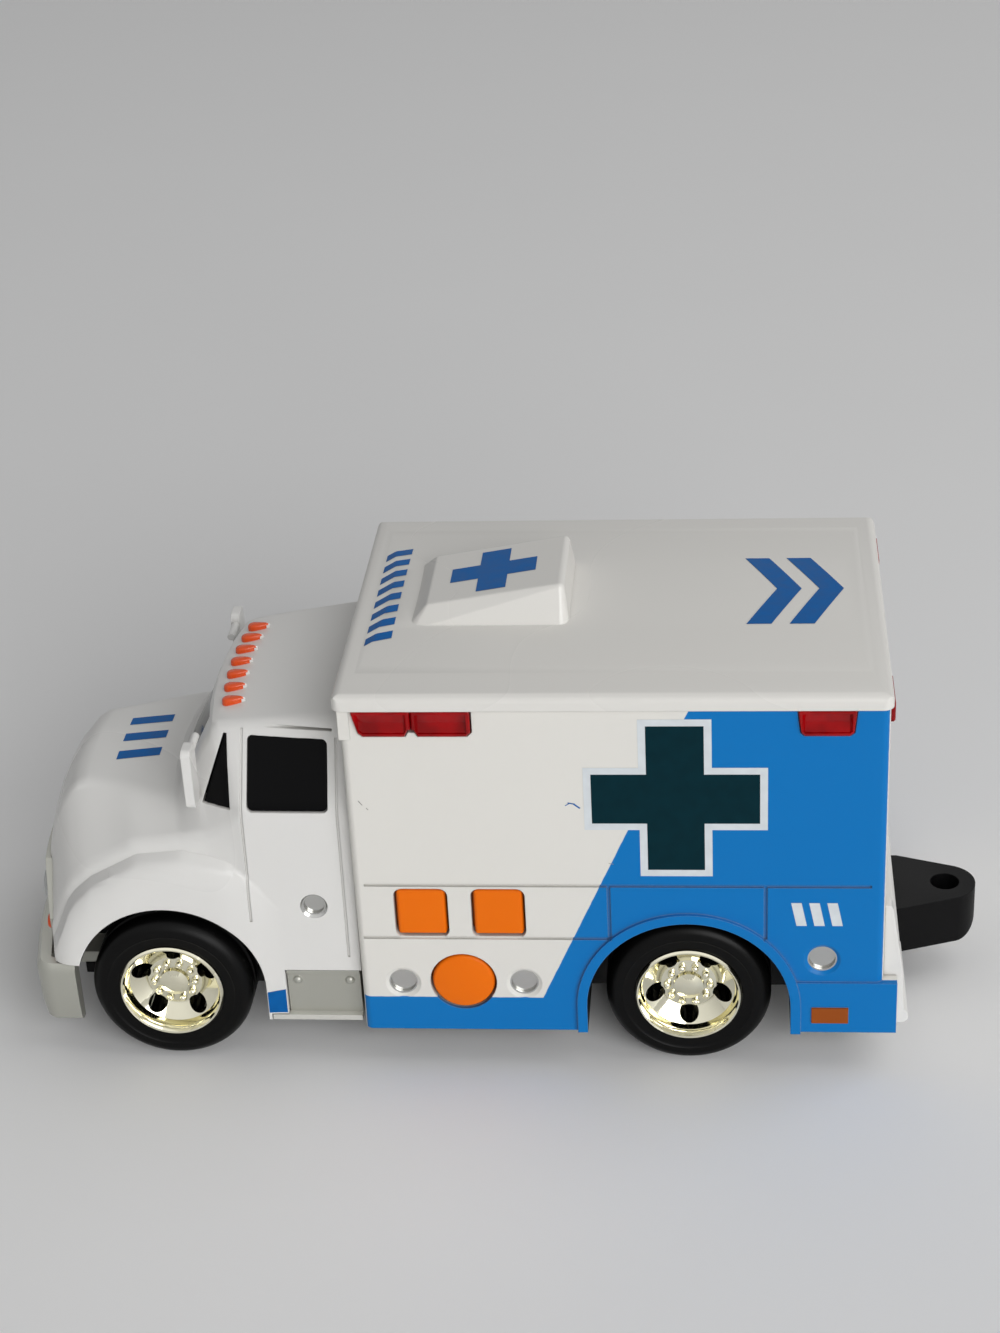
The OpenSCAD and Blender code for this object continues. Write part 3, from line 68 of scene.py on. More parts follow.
# adds one node: its settings, then its inputs, each a plain value or a socket to link from
def put(tree, kind, sets=None, ins=None):
    node = tree.nodes.new(kind)
    for name, value in (sets or {}).items():
        setattr(node, name, value)
    for name, value in (ins or {}).items():
        if isinstance(value, bpy.types.NodeSocket):
            tree.links.new(value, node.inputs[name])
        else:
            node.inputs[name].default_value = value
    return node


# one finish: cloudy colour and polish, fine grain, soft edges, a tint in corners and recesses that is
# painted shade where it is darker than the colour and dust where it is paler, and wear on edges
def finish(name, spec):
    material = bpy.data.materials.new(name)
    material.use_nodes = True
    tree = material.node_tree
    tree.nodes.clear()
    where = put(tree, "ShaderNodeTexCoord").outputs["Object"]
    cloud = put(tree, "ShaderNodeTexNoise", None, {
        "Vector": where, "Scale": 1 / (spec.get("cloudMm", 14) * mm), "Detail": 1.0}).outputs["Fac"]
    grain = put(tree, "ShaderNodeTexNoise", None, {
        "Vector": where, "Scale": 1 / (spec.get("grainMm", 0.5) * mm), "Detail": 3.0}).outputs["Fac"]
    polish = put(tree, "ShaderNodeMapRange", {"interpolation_type": "SMOOTHSTEP"}, {
        "Value": cloud, "From Min": 0.2, "From Max": 0.8,
        "To Min": spec["rough"][0], "To Max": spec["rough"][1]}).outputs["Result"]
    shade = put(tree, "ShaderNodeMapRange", {"interpolation_type": "SMOOTHSTEP"}, {
        "Value": cloud, "From Min": 0.2, "From Max": 0.8,
        "To Min": 1 - spec.get("mottle", 0.04), "To Max": 1.0}).outputs["Result"]
    base = spec["colour"]
    base = base(tree, where) if callable(base) else linear(base)
    colour = put(tree, "ShaderNodeMix", {"data_type": "RGBA", "blend_type": "MULTIPLY"}, {
        "Factor": 1.0, "A": base, "B": shade}).outputs["Result"]
    # painted shade: the colour is pulled towards the corner tint where ambient occlusion finds corners,
    # gaps and recesses; only the tyre's paler tint is dust in its grooves
    if "cornerShadeAndDust" in spec:
        corner = put(tree, "ShaderNodeAmbientOcclusion", {"samples": 6}, {
            "Distance": spec.get("cornerShadeAndDustMm", 1.0) * mm}).outputs["AO"]
        shadeAndDustAmount = put(tree, "ShaderNodeMapRange", None, {
            "Value": corner, "From Min": 0.2, "From Max": 0.75,
            "To Min": spec["cornerShadeAndDust"], "To Max": 0.0}).outputs["Result"]
        shadeAndDustTint = linear(spec.get("cornerShadeAndDustColour", "#7C766C"))
        colour = put(tree, "ShaderNodeMix", {"data_type": "RGBA"}, {
            "Factor": shadeAndDustAmount, "A": colour, "B": shadeAndDustTint}).outputs["Result"]
    normal = put(tree, "ShaderNodeNewGeometry").outputs["Normal"]
    if "edgeMm" in spec:
        soft = put(tree, "ShaderNodeBevel", {"samples": 4}, {
            "Radius": spec["edgeMm"] * mm}).outputs["Normal"]
        if "wear" in spec:
            turned = put(tree, "ShaderNodeVectorMath", {"operation": "DOT_PRODUCT"}, {
                0: soft, 1: normal})
            rubbed = put(tree, "ShaderNodeMapRange", None, {
                "Value": turned.outputs["Value"], "From Min": 0.75, "From Max": 0.97,
                "To Min": spec["wear"], "To Max": 0.0}).outputs["Result"]
            patchy = put(tree, "ShaderNodeMath", {"operation": "MULTIPLY"}, {
                0: rubbed, 1: grain}).outputs["Value"]
            colour = put(tree, "ShaderNodeMix", {"data_type": "RGBA"}, {
                "Factor": patchy, "A": colour, "B": linear(spec["wearColour"])}).outputs["Result"]
        normal = soft
    bump = put(tree, "ShaderNodeBump", None, {
        "Height": grain, "Strength": spec.get("bump", 0.06), "Distance": 0.04 * mm,
        "Normal": normal}).outputs["Normal"]
    shader = put(tree, "ShaderNodeBsdfPrincipled", None, {
        "Base Color": colour, "Roughness": polish, "Normal": bump, "Metallic": spec.get("metal", 0.0),
        "Coat Weight": spec.get("coat", 0.0), "Coat Roughness": 0.06,
        "Transmission Weight": spec.get("clear", 0.0), "Subsurface Weight": spec.get("glow", 0.0),
        "Subsurface Scale": 0.8 * mm})
    for socket, key in (("IOR", "ior"), ("Specular IOR Level", "gloss")):
        if key in spec:
            shader.inputs[socket].default_value = spec[key]
    put(tree, "ShaderNodeOutputMaterial", None, {"Surface": shader.outputs["BSDF"]})
    return material


# the box is moulded in warm white; blue is pad-printed behind a slanted line and along the bottom edge
boxPrint = {"white": "#E5E3DD", "blue": "#0075BF", "topX": -29.8, "topZ": 62.3,
            "cornerX": -7.8, "cornerZ": 13.4, "stripZ": 12.6, "fromY": 27.5,
            "edgeMm": 0.1, "wobbleMm": 0.15, "raggedMm": 1.2}


def boxColour(tree, where):
    axes = put(tree, "ShaderNodeSeparateXYZ", None, {"Vector": where}).outputs
    ragged = put(tree, "ShaderNodeTexNoise", None, {
        "Vector": where, "Scale": 1 / (boxPrint["raggedMm"] * mm)}).outputs["Fac"]
    lean = (boxPrint["topX"] - boxPrint["cornerX"]) / (boxPrint["topZ"] - boxPrint["cornerZ"])
    foot = (boxPrint["cornerX"] - lean * boxPrint["cornerZ"]) * mm
    line = put(tree, "ShaderNodeMath", {"operation": "MULTIPLY_ADD"}, {
        0: axes["Z"], 1: lean, 2: foot}).outputs[0]
    behind = put(tree, "ShaderNodeMath", {"operation": "SUBTRACT"}, {0: line, 1: axes["X"]}).outputs[0]
    below = put(tree, "ShaderNodeMath", {"operation": "SUBTRACT"}, {
        0: boxPrint["stripZ"] * mm, 1: axes["Z"]}).outputs[0]
    inside = put(tree, "ShaderNodeMath", {"operation": "MAXIMUM"}, {0: behind, 1: below}).outputs[0]
    across = put(tree, "ShaderNodeMath", {"operation": "ABSOLUTE"}, {0: axes["Y"]}).outputs[0]
    side = put(tree, "ShaderNodeMath", {"operation": "SUBTRACT"}, {
        0: across, 1: boxPrint["fromY"] * mm}).outputs[0]
    depth = put(tree, "ShaderNodeMath", {"operation": "MINIMUM"}, {0: inside, 1: side}).outputs[0]
    wobble = put(tree, "ShaderNodeMath", {"operation": "MULTIPLY_ADD"}, {
        0: ragged, 1: boxPrint["wobbleMm"] * mm, 2: depth}).outputs[0]
    inked = put(tree, "ShaderNodeMapRange", None, {
        "Value": wobble, "From Min": boxPrint["wobbleMm"] * 0.5 * mm,
        "From Max": (boxPrint["wobbleMm"] * 0.5 + boxPrint["edgeMm"]) * mm}).outputs["Result"]
    return put(tree, "ShaderNodeMix", {"data_type": "RGBA"}, {
        "Factor": inked, "A": linear(boxPrint["white"]),
        "B": linear(boxPrint["blue"])}).outputs["Result"]


finishes = {
    # a darker corner tint on the whites, lacquers, foil, keys and plating below is painted shade in their
    # corners, gaps and recesses; the tyre's paler tint is dust
    # gloss ABS, injection moulded: clean cool white, soft sheen, edges never quite sharp
    "cabAbs": finish("cab_gloss_abs", {
        "colour": "#E6E5E2", "rough": (0.26, 0.32), "ior": 1.54, "gloss": 0.4, "edgeMm": 0.2,
        "cloudMm": 50, "cornerShadeAndDust": 0.45, "mottle": 0.02, "bump": 0.04}),
    # the same ABS in a warmer white under pad-printed blue: ink rubs thin on the edges
    "boxAbs": finish("box_printed_abs", {
        "colour": boxColour, "rough": (0.28, 0.36), "ior": 1.54, "gloss": 0.18, "edgeMm": 0.2,
        "cloudMm": 50, "cornerShadeAndDust": 0.5, "wear": 0.35, "wearColour": "#C9D6DE", "mottle": 0.012, "bump": 0.05}),
    # the lid's ABS, in the box's warm white but with no print: glossier than the box
    "roofAbs": finish("roof_gloss_abs", {
        "colour": "#E4E2DD", "rough": (0.26, 0.34), "ior": 1.54, "gloss": 0.4, "edgeMm": 0.2,
        "cloudMm": 50, "cornerShadeAndDust": 0.45, "mottle": 0.012, "bump": 0.05}),
    # polished styrene, dyed black: deep and even, with patches of haze
    "glassStyrene": finish("window_black_styrene", {
        "colour": "#060607", "rough": (0.06, 0.16), "ior": 1.59, "gloss": 0.07, "cloudMm": 3,
        "bump": 0.01}),
    # pearl silver lacquer sprayed on ABS: fine flake, satin, lighter where it rubs
    "pearlLacquer": finish("silver_pearl_lacquer", {
        "colour": "#B3B3AA", "rough": (0.3, 0.42), "metal": 0.45, "grainMm": 0.15, "bump": 0.15,
        "edgeMm": 0.15, "cornerShadeAndDust": 0.5, "coat": 0.25, "wear": 0.7, "wearColour": "#D8D7D2"}),
    # the same lacquer on the tread, painted whiter as a highlight along the ledge, and smoother
    "treadHighlightLacquer": finish("silver_lacquer_painted_highlight", {
        "colour": "#DCDBD4", "rough": (0.26, 0.36), "metal": 0.3, "grainMm": 0.15, "bump": 0.1,
        "edgeMm": 0.1, "cornerShadeAndDust": 0.4, "coat": 0.25}),
    # hot-foiled silver in the lamp dishes: brighter and smoother than the lacquer, with painted shade in
    # the dish
    "dishFoil": finish("lamp_dish_silver_foil", {
        "colour": "#C6C6C3", "rough": (0.16, 0.26), "metal": 0.9, "cornerShadeAndDust": 0.5, "cornerShadeAndDustMm": 0.6}),
    # clear red styrene: light goes in and comes back deep red
    "lensStyrene": finish("red_clear_styrene", {
        "colour": "#B4040C", "rough": (0.05, 0.1), "ior": 1.59, "gloss": 0.14, "clear": 0.15,
        "cloudMm": 3.2, "mottle": 0.45, "bump": 0.01}),
    # clear styrene over the head lamps: pale and glassy
    "lampStyrene": finish("lamp_clear_styrene", {
        "colour": "#E6E8E8", "rough": (0.06, 0.12), "ior": 1.59, "clear": 0.4, "bump": 0.01}),
    # satin ABS dyed orange: colour glows a little through the edges, with painted shade darkening the gaps
    "keyAbs": finish("orange_satin_abs", {
        "colour": "#F57400", "rough": (0.36, 0.46), "ior": 1.54, "gloss": 0.16, "glow": 0.08,
        "edgeMm": 0.15, "cornerShadeAndDust": 0.5, "cornerShadeAndDustColour": "#7A3000", "bump": 0.1, "grainMm": 0.3}),
    # brushed-on lacquers: a dull amber that rubs lighter, and a glossy orange with a wet look
    "amberLacquer": finish("amber_lacquer", {
        "colour": "#9A4A06", "rough": (0.35, 0.48), "gloss": 0.25, "edgeMm": 0.1,
        "wear": 0.4, "wearColour": "#C77B2C"}),
    "markerLacquer": finish("orange_marker_lacquer", {
        "colour": "#E4531C", "rough": (0.22, 0.34), "gloss": 0.3, "coat": 0.2, "cloudMm": 1.5}),
    # black satin ABS from a spark-eroded mould: a fine texture that greys on the edges
    "chassisAbs": finish("black_spark_textured_abs", {
        "colour": "#070708", "rough": (0.42, 0.55), "ior": 1.54, "gloss": 0.12, "grainMm": 0.35,
        "bump": 0.25, "edgeMm": 0.2, "wear": 0.3, "wearColour": "#3A3A3A"}),
    # vacuum-plated styrene: mirror aluminium under a pale gold lacquer, with dark gold painted shade in
    # its recesses
    "platedChrome": finish("vacuum_plated_chrome", {
        "colour": "#F3EFD8", "rough": (0.04, 0.1), "metal": 1.0, "cloudMm": 2.5, "bump": 0.015,
        "cornerShadeAndDust": 0.6, "cornerShadeAndDustMm": 0.7, "cornerShadeAndDustColour": "#3E360E"}),
    # raw black styrene: dull, on the wheel's back where no plating reached and on the inner ends of its
    # holes, where it also darkens the holes as painted shade; the same black laid in the wheel wells of
    # the white shells is painted shade
    "unplatedBlackAndWellShade": finish("unplated_black_styrene_and_painted_well_shade", {
        "colour": "#0A0A09", "rough": (0.4, 0.55), "ior": 1.59, "gloss": 0.2, "cloudMm": 2}),
    # soft black PVC, injection moulded: slightly waxy, dust in the grooves
    "tyrePvc": finish("tyre_black_pvc", {
        "colour": "#060606", "rough": (0.32, 0.46), "ior": 1.53, "gloss": 0.12, "grainMm": 0.4,
        "bump": 0.12, "cornerShadeAndDust": 0.2, "cornerShadeAndDustColour": "#3B3834"}),
    # plated steels: bright nickel on screws, axles and cells, dull zinc on the loudspeaker
    "nickelSteel": finish("nickel_plated_steel", {
        "colour": "#C4C2BD", "rough": (0.18, 0.3), "metal": 1.0, "cloudMm": 1.5}),
    "basketSteel": finish("zinc_plated_basket_steel", {
        "colour": "#6E6E70", "rough": (0.32, 0.45), "metal": 1.0, "cloudMm": 3}),
    # inner pieces: glassy green solder mask on laminate, dull moulded silicone, milky cast epoxy
    "boardLaminate": finish("green_solder_mask_laminate", {
        "colour": "#1D663A", "rough": (0.28, 0.4), "ior": 1.5, "cloudMm": 4}),
    "padSilicone": finish("grey_moulded_silicone", {
        "colour": "#B4B4B3", "rough": (0.5, 0.62), "ior": 1.41, "glow": 0.1}),
    "ledEpoxy": finish("red_diffused_epoxy", {
        "colour": "#B8241B", "rough": (0.14, 0.22), "ior": 1.55, "clear": 0.35}),
    # pad-printing inks: thin, even and a little duller than the plastic
    "blueInk": finish("blue_pad_print_ink", {
        "colour": "#0862AC", "rough": (0.36, 0.48), "gloss": 0.1, "mottle": 0.12, "cloudMm": 1.5}),
    "tealInk": finish("dark_teal_pad_print_ink", {
        "colour": "#022B34", "rough": (0.34, 0.46), "gloss": 0.08, "mottle": 0.15, "cloudMm": 2}),
    "whiteInk": finish("white_pad_print_ink", {
        "colour": "#DCE2E6", "rough": (0.36, 0.48), "gloss": 0.3, "mottle": 0.08, "cloudMm": 2}),
    # plastic rubbed rough by play: a dull, blotchy grey
    "scuffGrey": finish("grey_scuff", {
        "colour": "#9A9893", "rough": (0.5, 0.6), "mottle": 0.3, "cloudMm": 0.6}),
}
print("stage: finishes", len(finishes))


def smoothTo(mesh, angle):
    work = bmesh.new()
    work.from_mesh(mesh)
    for edge in work.edges:
        edge.smooth = len(edge.link_faces) == 2 and edge.calc_face_angle(0) < math.radians(angle)
    for face in work.faces:
        face.smooth = True
    work.to_mesh(mesh)
    work.free()


def added(name, data):
    thing = bpy.data.objects.new(name, data)
    bpy.context.scene.collection.objects.link(thing)
    return thing


def place(name, mesh, body, stands=None):
    piece = added(name, mesh)
    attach(piece, body)
    if stands:
        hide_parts(stands)
    return piece


# a closed skin through equal rows of points, capped at both ends
def loft(rows):
    verts = [p for row in rows for p in row]
    count = len(rows[0])
    faces = []
    for i in range(len(rows) - 1):
        for j in range(count):
            k = (j + 1) % count
            faces.append((i * count + j, i * count + k, (i + 1) * count + k, (i + 1) * count + j))
    faces += [tuple(range(count)), tuple((len(rows) - 1) * count + j for j in range(count))]
    return verts, faces


def meshOf(name, shells):
    mesh = bpy.data.meshes.new(name)
    work = bmesh.new()
    for verts, faces in shells:
        made = [work.verts.new(Vector(p) * mm) for p in verts]
        for face in faces:
            work.faces.new([made[k] for k in face])
    bmesh.ops.remove_doubles(work, verts=work.verts, dist=weldMm["own"] * mm)
    bmesh.ops.recalc_face_normals(work, faces=work.faces)
    work.to_mesh(mesh)
    work.free()
    return mesh


def solid(name, shells, key, body, stands=None, angle=25):
    mesh = meshOf(name, shells)
    mesh.materials.append(finishes[key])
    smoothTo(mesh, angle)
    return place(name, mesh, body, stands)


# panel lines cut into a piece by thin shells that follow its skin
def cutLines(piece, shells):
    blade = added("blade", meshOf("blade", shells))
    lines = piece.modifiers.new("panel lines", "BOOLEAN")
    lines.object = blade
    lines.operation = "DIFFERENCE"
    lines.solver = "EXACT"
    graph = bpy.context.evaluated_depsgraph_get()
    done = bpy.data.meshes.new_from_object(piece.evaluated_get(graph))
    piece.modifiers.remove(lines)
    piece.data = done
    bpy.data.objects.remove(blade)


def skinOf(name):
    mesh = nodes[name].data
    return BVHTree.FromPolygons([v.co for v in mesh.vertices], [f.vertices for f in mesh.polygons])


skins = {name: skinOf(name) for name in ("box_shell", "roof_cover", "cab_shell")}
outside = {"above": 95, "beside": 45}


# where a straight line towards the truck meets a node: from above, or from one side
def meet(target, way, a, b):
    origin, along = {"top": (Vector((a, b, outside["above"])), Vector((0, 0, -1))),
                     "left": (Vector((a, outside["beside"], b)), Vector((0, -1, 0))),
                     "right": (Vector((a, -outside["beside"], b)), Vector((0, 1, 0)))}[way]
    spot = skins[target].ray_cast(origin * mm, along)[0]
    return spot / mm, along


# a CAD node with welded faces, smooth curves, a small edge radius and a finish for each face
def dressed(node, name, keys, angle, edgeMm=0.0, pick=None, cuts=None):
    mesh = nodes[node].data.copy()
    mesh.name = name
    mesh.materials.clear()
    for key in keys:
        mesh.materials.append(finishes[key])
    work = bmesh.new()
    work.from_mesh(mesh)
    bmesh.ops.remove_doubles(work, verts=work.verts, dist=weldMm["cad"] * mm)
    bmesh.ops.dissolve_limit(
        work, angle_limit=math.radians(flatDegrees), verts=work.verts, edges=work.edges)
    for face in work.faces:
        face.material_index = pick([v.co / mm for v in face.verts]) if pick else 0
    work.to_mesh(mesh)
    work.free()
    smoothTo(mesh, angle)
    piece = place(name, mesh, nodes[node]["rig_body"], node)
    if cuts:
        cutLines(piece, cuts)
        smoothTo(piece.data, angle)
    if edgeMm:
        edge = piece.modifiers.new("edge radius", "BEVEL")
        edge.width = edgeMm * mm
        edge.segments = 2
        edge.limit_method = "ANGLE"
        edge.angle_limit = math.radians(angle)
        edge.harden_normals = True
    even = piece.modifiers.new("even shading", "WEIGHTED_NORMAL")
    even.keep_sharp = True


# silver inside the lamp dishes, amber on the low marker, orange on the turn signals, and black in the
# wheel wells as painted shade;
# dishes and wells are given as (x, z, radius)
dishes = {"cab": [(26.475, 27.0, 2.3)],
          "box": [(13.475, 15.1, 2.8), (-4.725, 15.1, 2.8), (-48.825, 19.7, 2.8)],
          "cabY": 25.6, "boxY": 28.08, "boxBackY": 26.5}
lowMarker = {"x": (-52.8, -47.2), "z": (8.6, 11.5), "fromY": 28.6}
wells = {"front": (49.375, 12.35, 14.56), "rear": (-29.125, 11.25, 15.16), "fromY": 10.0, "toY": 20.0}
noseLamps = {"headY": 13.0, "headZ": 23.0, "headR": 3.0,
             "signalY": 18.6, "signalZ": 19.6, "signalR": 1.7}


def inDish(points, spots, faceY):
    for x, z, r in spots:
        if all(math.hypot(p.x - x, p.z - z) < r and abs(p.y) < faceY for p in points):
            return True
    return False


def inWell(points, end):
    x, z, r = wells[end]
    if not wells["fromY"] < min(abs(p.y) for p in points) < wells["toY"]:
        return False
    return all(abs(p.x - x) < r and (p.z < z or math.hypot(p.x - x, p.z - z) < r) for p in points)


def pickCab(points):
    if inWell(points, "front"):
        return 2
    return 1 if inDish(points, dishes["cab"], dishes["cabY"]) else 0


def pickBox(points):
    if inWell(points, "rear"):
        return 3
    ys = [abs(p.y) for p in points]
    if inDish(points, dishes["box"], dishes["boxY"]) and min(ys) > dishes["boxBackY"]:
        return 1
    x, z = lowMarker["x"], lowMarker["z"]
    within = all(x[0] < p.x < x[1] and z[0] < p.z < z[1] for p in points)
    return 2 if within and max(ys) > lowMarker["fromY"] else 0


def pickNose(points):
    for key, number in (("head", 1), ("signal", 2)):
        y, z, r = noseLamps[key + "Y"], noseLamps[key + "Z"], noseLamps[key + "R"]
        if all(math.hypot(abs(p.y) - y, p.z - z) < r for p in points):
            return number
    return 0


# upright door lines on both sides of the cab, as (x, low z, high z)
doorLines = {"at": [(36.07, 24.5, 53.4), (21.8, 18.0, 53.0)], "width": 0.36, "depth": 0.22,
             "proud": 1.0, "step": 0.6}
doorCuts = []
for side, sign in (("left", 1), ("right", -1)):
    for x, low, high in doorLines["at"]:
        count = round((high - low) / doorLines["step"])
        rows = []
        for i in range(count + 1):
            z = low + (high - low) * i / count
            skinY = meet("cab_shell", side, x, z)[0].y
            back, out = skinY - sign * doorLines["depth"], skinY + sign * doorLines["proud"]
            x0, x1 = x - doorLines["width"] / 2, x + doorLines["width"] / 2
            rows.append([(x0, back, z), (x1, back, z), (x1, out, z), (x0, out, z)])
        doorCuts.append(loft(rows))

# the step's low ledge is the tread, which takes the painted highlight
tread = {"topZ": 8.1}


def pickStep(points):
    return 1 if all(p.z < tread["topZ"] for p in points) else 0


# the wheel's back and the inner ends of its holes stay unplated; their black also darkens the holes as
# painted shade
plating = {"fromY": 22.5}


def pickHub(points):
    return 1 if all(abs(p.y) < plating["fromY"] for p in points) else 0


dressed("cab_shell", "cab_skin", ["cabAbs", "dishFoil", "unplatedBlackAndWellShade"], 36, 0, pickCab, doorCuts)
dressed("cab_glazing", "window_moulding", ["glassStyrene"], 36)
dressed("grille_panel", "nose_panel", ["pearlLacquer", "lampStyrene", "markerLacquer"],
        32, 0.08, pickNose)
dressed("front_bumper", "bumper_skin", ["pearlLacquer"], 40)
dressed("box_shell", "box_skin", ["boxAbs", "dishFoil", "amberLacquer", "unplatedBlackAndWellShade"], 30, 0, pickBox)
dressed("roof_cover", "roof_skin", ["roofAbs"], 28)
dressed("rear_bumper", "tail_step", ["cabAbs"], 30, 0.15)
dressed("tow_hitch", "hitch_tongue", ["chassisAbs"], 30, 0.3)
dressed("chassis", "floor_plate", ["chassisAbs"], 30)
dressed("battery_door", "battery_lid", ["chassisAbs"], 30, 0.12)
for side in ("left", "right"):
    dressed(f"mirror_{side}", f"mirror_head_{side}", ["cabAbs"], 32, 0.12)
    dressed(f"side_step_{side}", f"step_plate_{side}", ["pearlLacquer", "treadHighlightLacquer"],
            32, 0.08, pickStep)
    for end in ("front", "rear"):
        dressed(f"hub_{end}_{side}", f"plated_hub_{end}_{side}", ["platedChrome", "unplatedBlackAndWellShade"],
                26, 0, pickHub)
        dressed(f"tyre_{end}_{side}", f"soft_tyre_{end}_{side}", ["tyrePvc"], 30)
for name in ("square_button_front", "square_button_rear", "round_button"):
    dressed(name, f"{name}_cap", ["keyAbs"], 30, 0.1)

# inner pieces keep their solids and take a finish
insides = {
    "nickelSteel": ["front_axle", "rear_axle", "body_screws", "board_screws", "door_screw",
                    "button_cells", "battery_contacts"],
    "basketSteel": ["speaker"],
    "boardLaminate": ["circuit_board"],
    "padSilicone": ["button_pad"],
    "ledEpoxy": ["front_leds", "rear_leds"]}
for key, names in insides.items():
    for name in names:
        nodes[name].data.materials.clear()
        nodes[name].data.materials.append(finishes[key])
print("stage: dressed nodes")


# red lamp covers: a bevelled rim round a pane of wide soft flutes, folded inwards along its middle
lens = {"rim": 0.55, "rimShare": 0.3, "bevel": 0.22, "bevelShare": 0.2, "sink": 0.25, "slant": 0.08,
        "flute": 2.6, "fluteDepth": 0.08, "fluteColumns": 6, "fold": 0.4, "seam": 0.06, "topZ": 62.2,
        "sideBase": 26.65, "sideFace": 28.6, "tailBase": 56.03, "tailFace": 58.52}


def lowEdge(points, u):
    for (u0, z0), (u1, z1) in zip(points, points[1:]):
        if u0 <= u <= u1:
            return z0 + (z1 - z0) * (u - u0) / (u1 - u0)
    return points[-1][1]


def lensShell(points, base, face, spot):
    u0, u1 = points[0][0] + lens["seam"], points[-1][0] - lens["seam"]
    left, right = u0 + lens["rim"], u1 - lens["rim"]
    count = round((right - left) / lens["flute"] * lens["fluteColumns"])
    columns = {u0, u0 + lens["bevel"], left, right, u1 - lens["bevel"], u1}
    columns |= {left + (right - left) * i / count for i in range(1, count)}
    columns |= {u for u, z in points if u0 < u < u1}
    rows = []
    for u in sorted(columns):
        low, top = lowEdge(points, u), lens["topZ"]
        edge = min(lens["bevel"], (top - low) * lens["bevelShare"])
        rim = min(lens["rim"], (top - low) * lens["rimShare"])
        front = face - lens["bevel"] if u in (u0, u1) else face
        pane = fold = front
        if left < u < right:
            wave = (1 - math.cos(2 * math.pi * (u - left) / lens["flute"])) / 2
            pane = front - lens["sink"] - lens["fluteDepth"] * wave
            fold = pane - lens["fold"]
        rows.append([spot(u, z, d) for z, d in (
            (low, base), (low, face - lens["bevel"]), (low + edge, front), (low + rim, front),
            (low + rim + lens["slant"], pane), ((low + top) / 2, fold), (top - rim - lens["slant"], pane),
            (top - rim, front), (top - edge, front), (top, face - lens["bevel"]), (top, base))])
    return loft(rows)


# the covers' low edges as (place along the cover, z)
lensLows = {
    "front": [[(0.975, 58.7), (1.675, 58.0), (8.475, 58.0), (9.075, 59.1), (9.475, 59.1)],
              [(9.475, 59.1), (9.875, 59.1), (10.475, 58.0), (16.375, 58.0), (16.975, 58.5),
               (17.975, 62.0)]],
    "rear": [[(-53.125, 61.9), (-52.725, 58.5), (-52.125, 58.0), (-45.925, 58.0), (-45.425, 58.5),
              (-44.925, 61.9)]],
    "tail": [[(18.1, 59.4), (18.7, 58.8), (25.7, 58.8), (26.3, 59.4)]]}
for side, sign in (("left", 1), ("right", -1)):
    for end in ("front", "rear"):
        shells = [lensShell(low, lens["sideBase"], lens["sideFace"], lambda u, z, d: (u, sign * d, z))
                  for low in lensLows[end]]
        solid(f"{end}_lamp_cover_{side}", shells, "lensStyrene", "truck",
              f"{end}_lens_{side}")
    shells = [lensShell(low, lens["tailBase"], lens["tailFace"], lambda u, z, d: (-d, sign * u, z))
              for low in lensLows["tail"]]
    solid(f"tail_lamp_cover_{side}", shells, "lensStyrene", "truck", f"tail_lens_{side}")
print("stage: lamp covers")


# seven teardrop marker lamps along the front edge of the cab roof, lacquered orange but for their tails;
# each row is (share of the outline, height)
markers = {"count": 7, "pitch": 3.9, "x": 39.775, "bow": 3.18, "bowSpan": 25, "round": 0.86,
           "tail": 2.75, "taper": 0.35, "sides": 28, "lacquerBack": 2.3, "stub": 0.65, "rearBy": 4.2,
           "rows": [(1.0, -0.5), (1.0, 0.45), (0.95, 0.66), (0.8, 0.8), (0.5, 0.9), (0.2, 0.93)]}


def drop(angle, scale):
    x, y = math.cos(angle), math.sin(angle)
    if x > 0:
        return x * markers["round"] * scale, y * markers["round"] * scale
    return x * markers["tail"] * scale, y * markers["round"] * scale * (1 + x) ** markers["taper"]


drops = []
for i in range(markers["count"]):
    y = (i - (markers["count"] - 1) / 2) * markers["pitch"]
    x = markers["x"] - markers["bow"] * (y / markers["bowSpan"]) ** 2
    rear = meet("cab_shell", "top", x - markers["rearBy"], y)[0]
    stub = meet("cab_shell", "top", x, y)[0]
    slope = (stub.z - markers["stub"] - rear.z) / (stub.x - rear.x)
    rows = []
    for scale, height in markers["rows"]:
        ring = [drop(2 * math.pi * k / markers["sides"], scale) for k in range(markers["sides"])]
        rows.append([(x + dx, y + dy, rear.z + slope * (x + dx - rear.x) + height) for dx, dy in ring])
    drops.append(loft(rows))
lamps = solid("roof_marker_lamps", drops, "markerLacquer", "truck", angle=50).data
lamps.materials.append(finishes["cabAbs"])
for face in lamps.polygons:
    spot = face.center / mm
    y = round(spot.y / markers["pitch"]) * markers["pitch"]
    bowed = markers["x"] - markers["bow"] * (y / markers["bowSpan"]) ** 2
    face.material_index = 1 if spot.x < bowed - markers["lacquerBack"] else 0
print("stage: marker lamps")


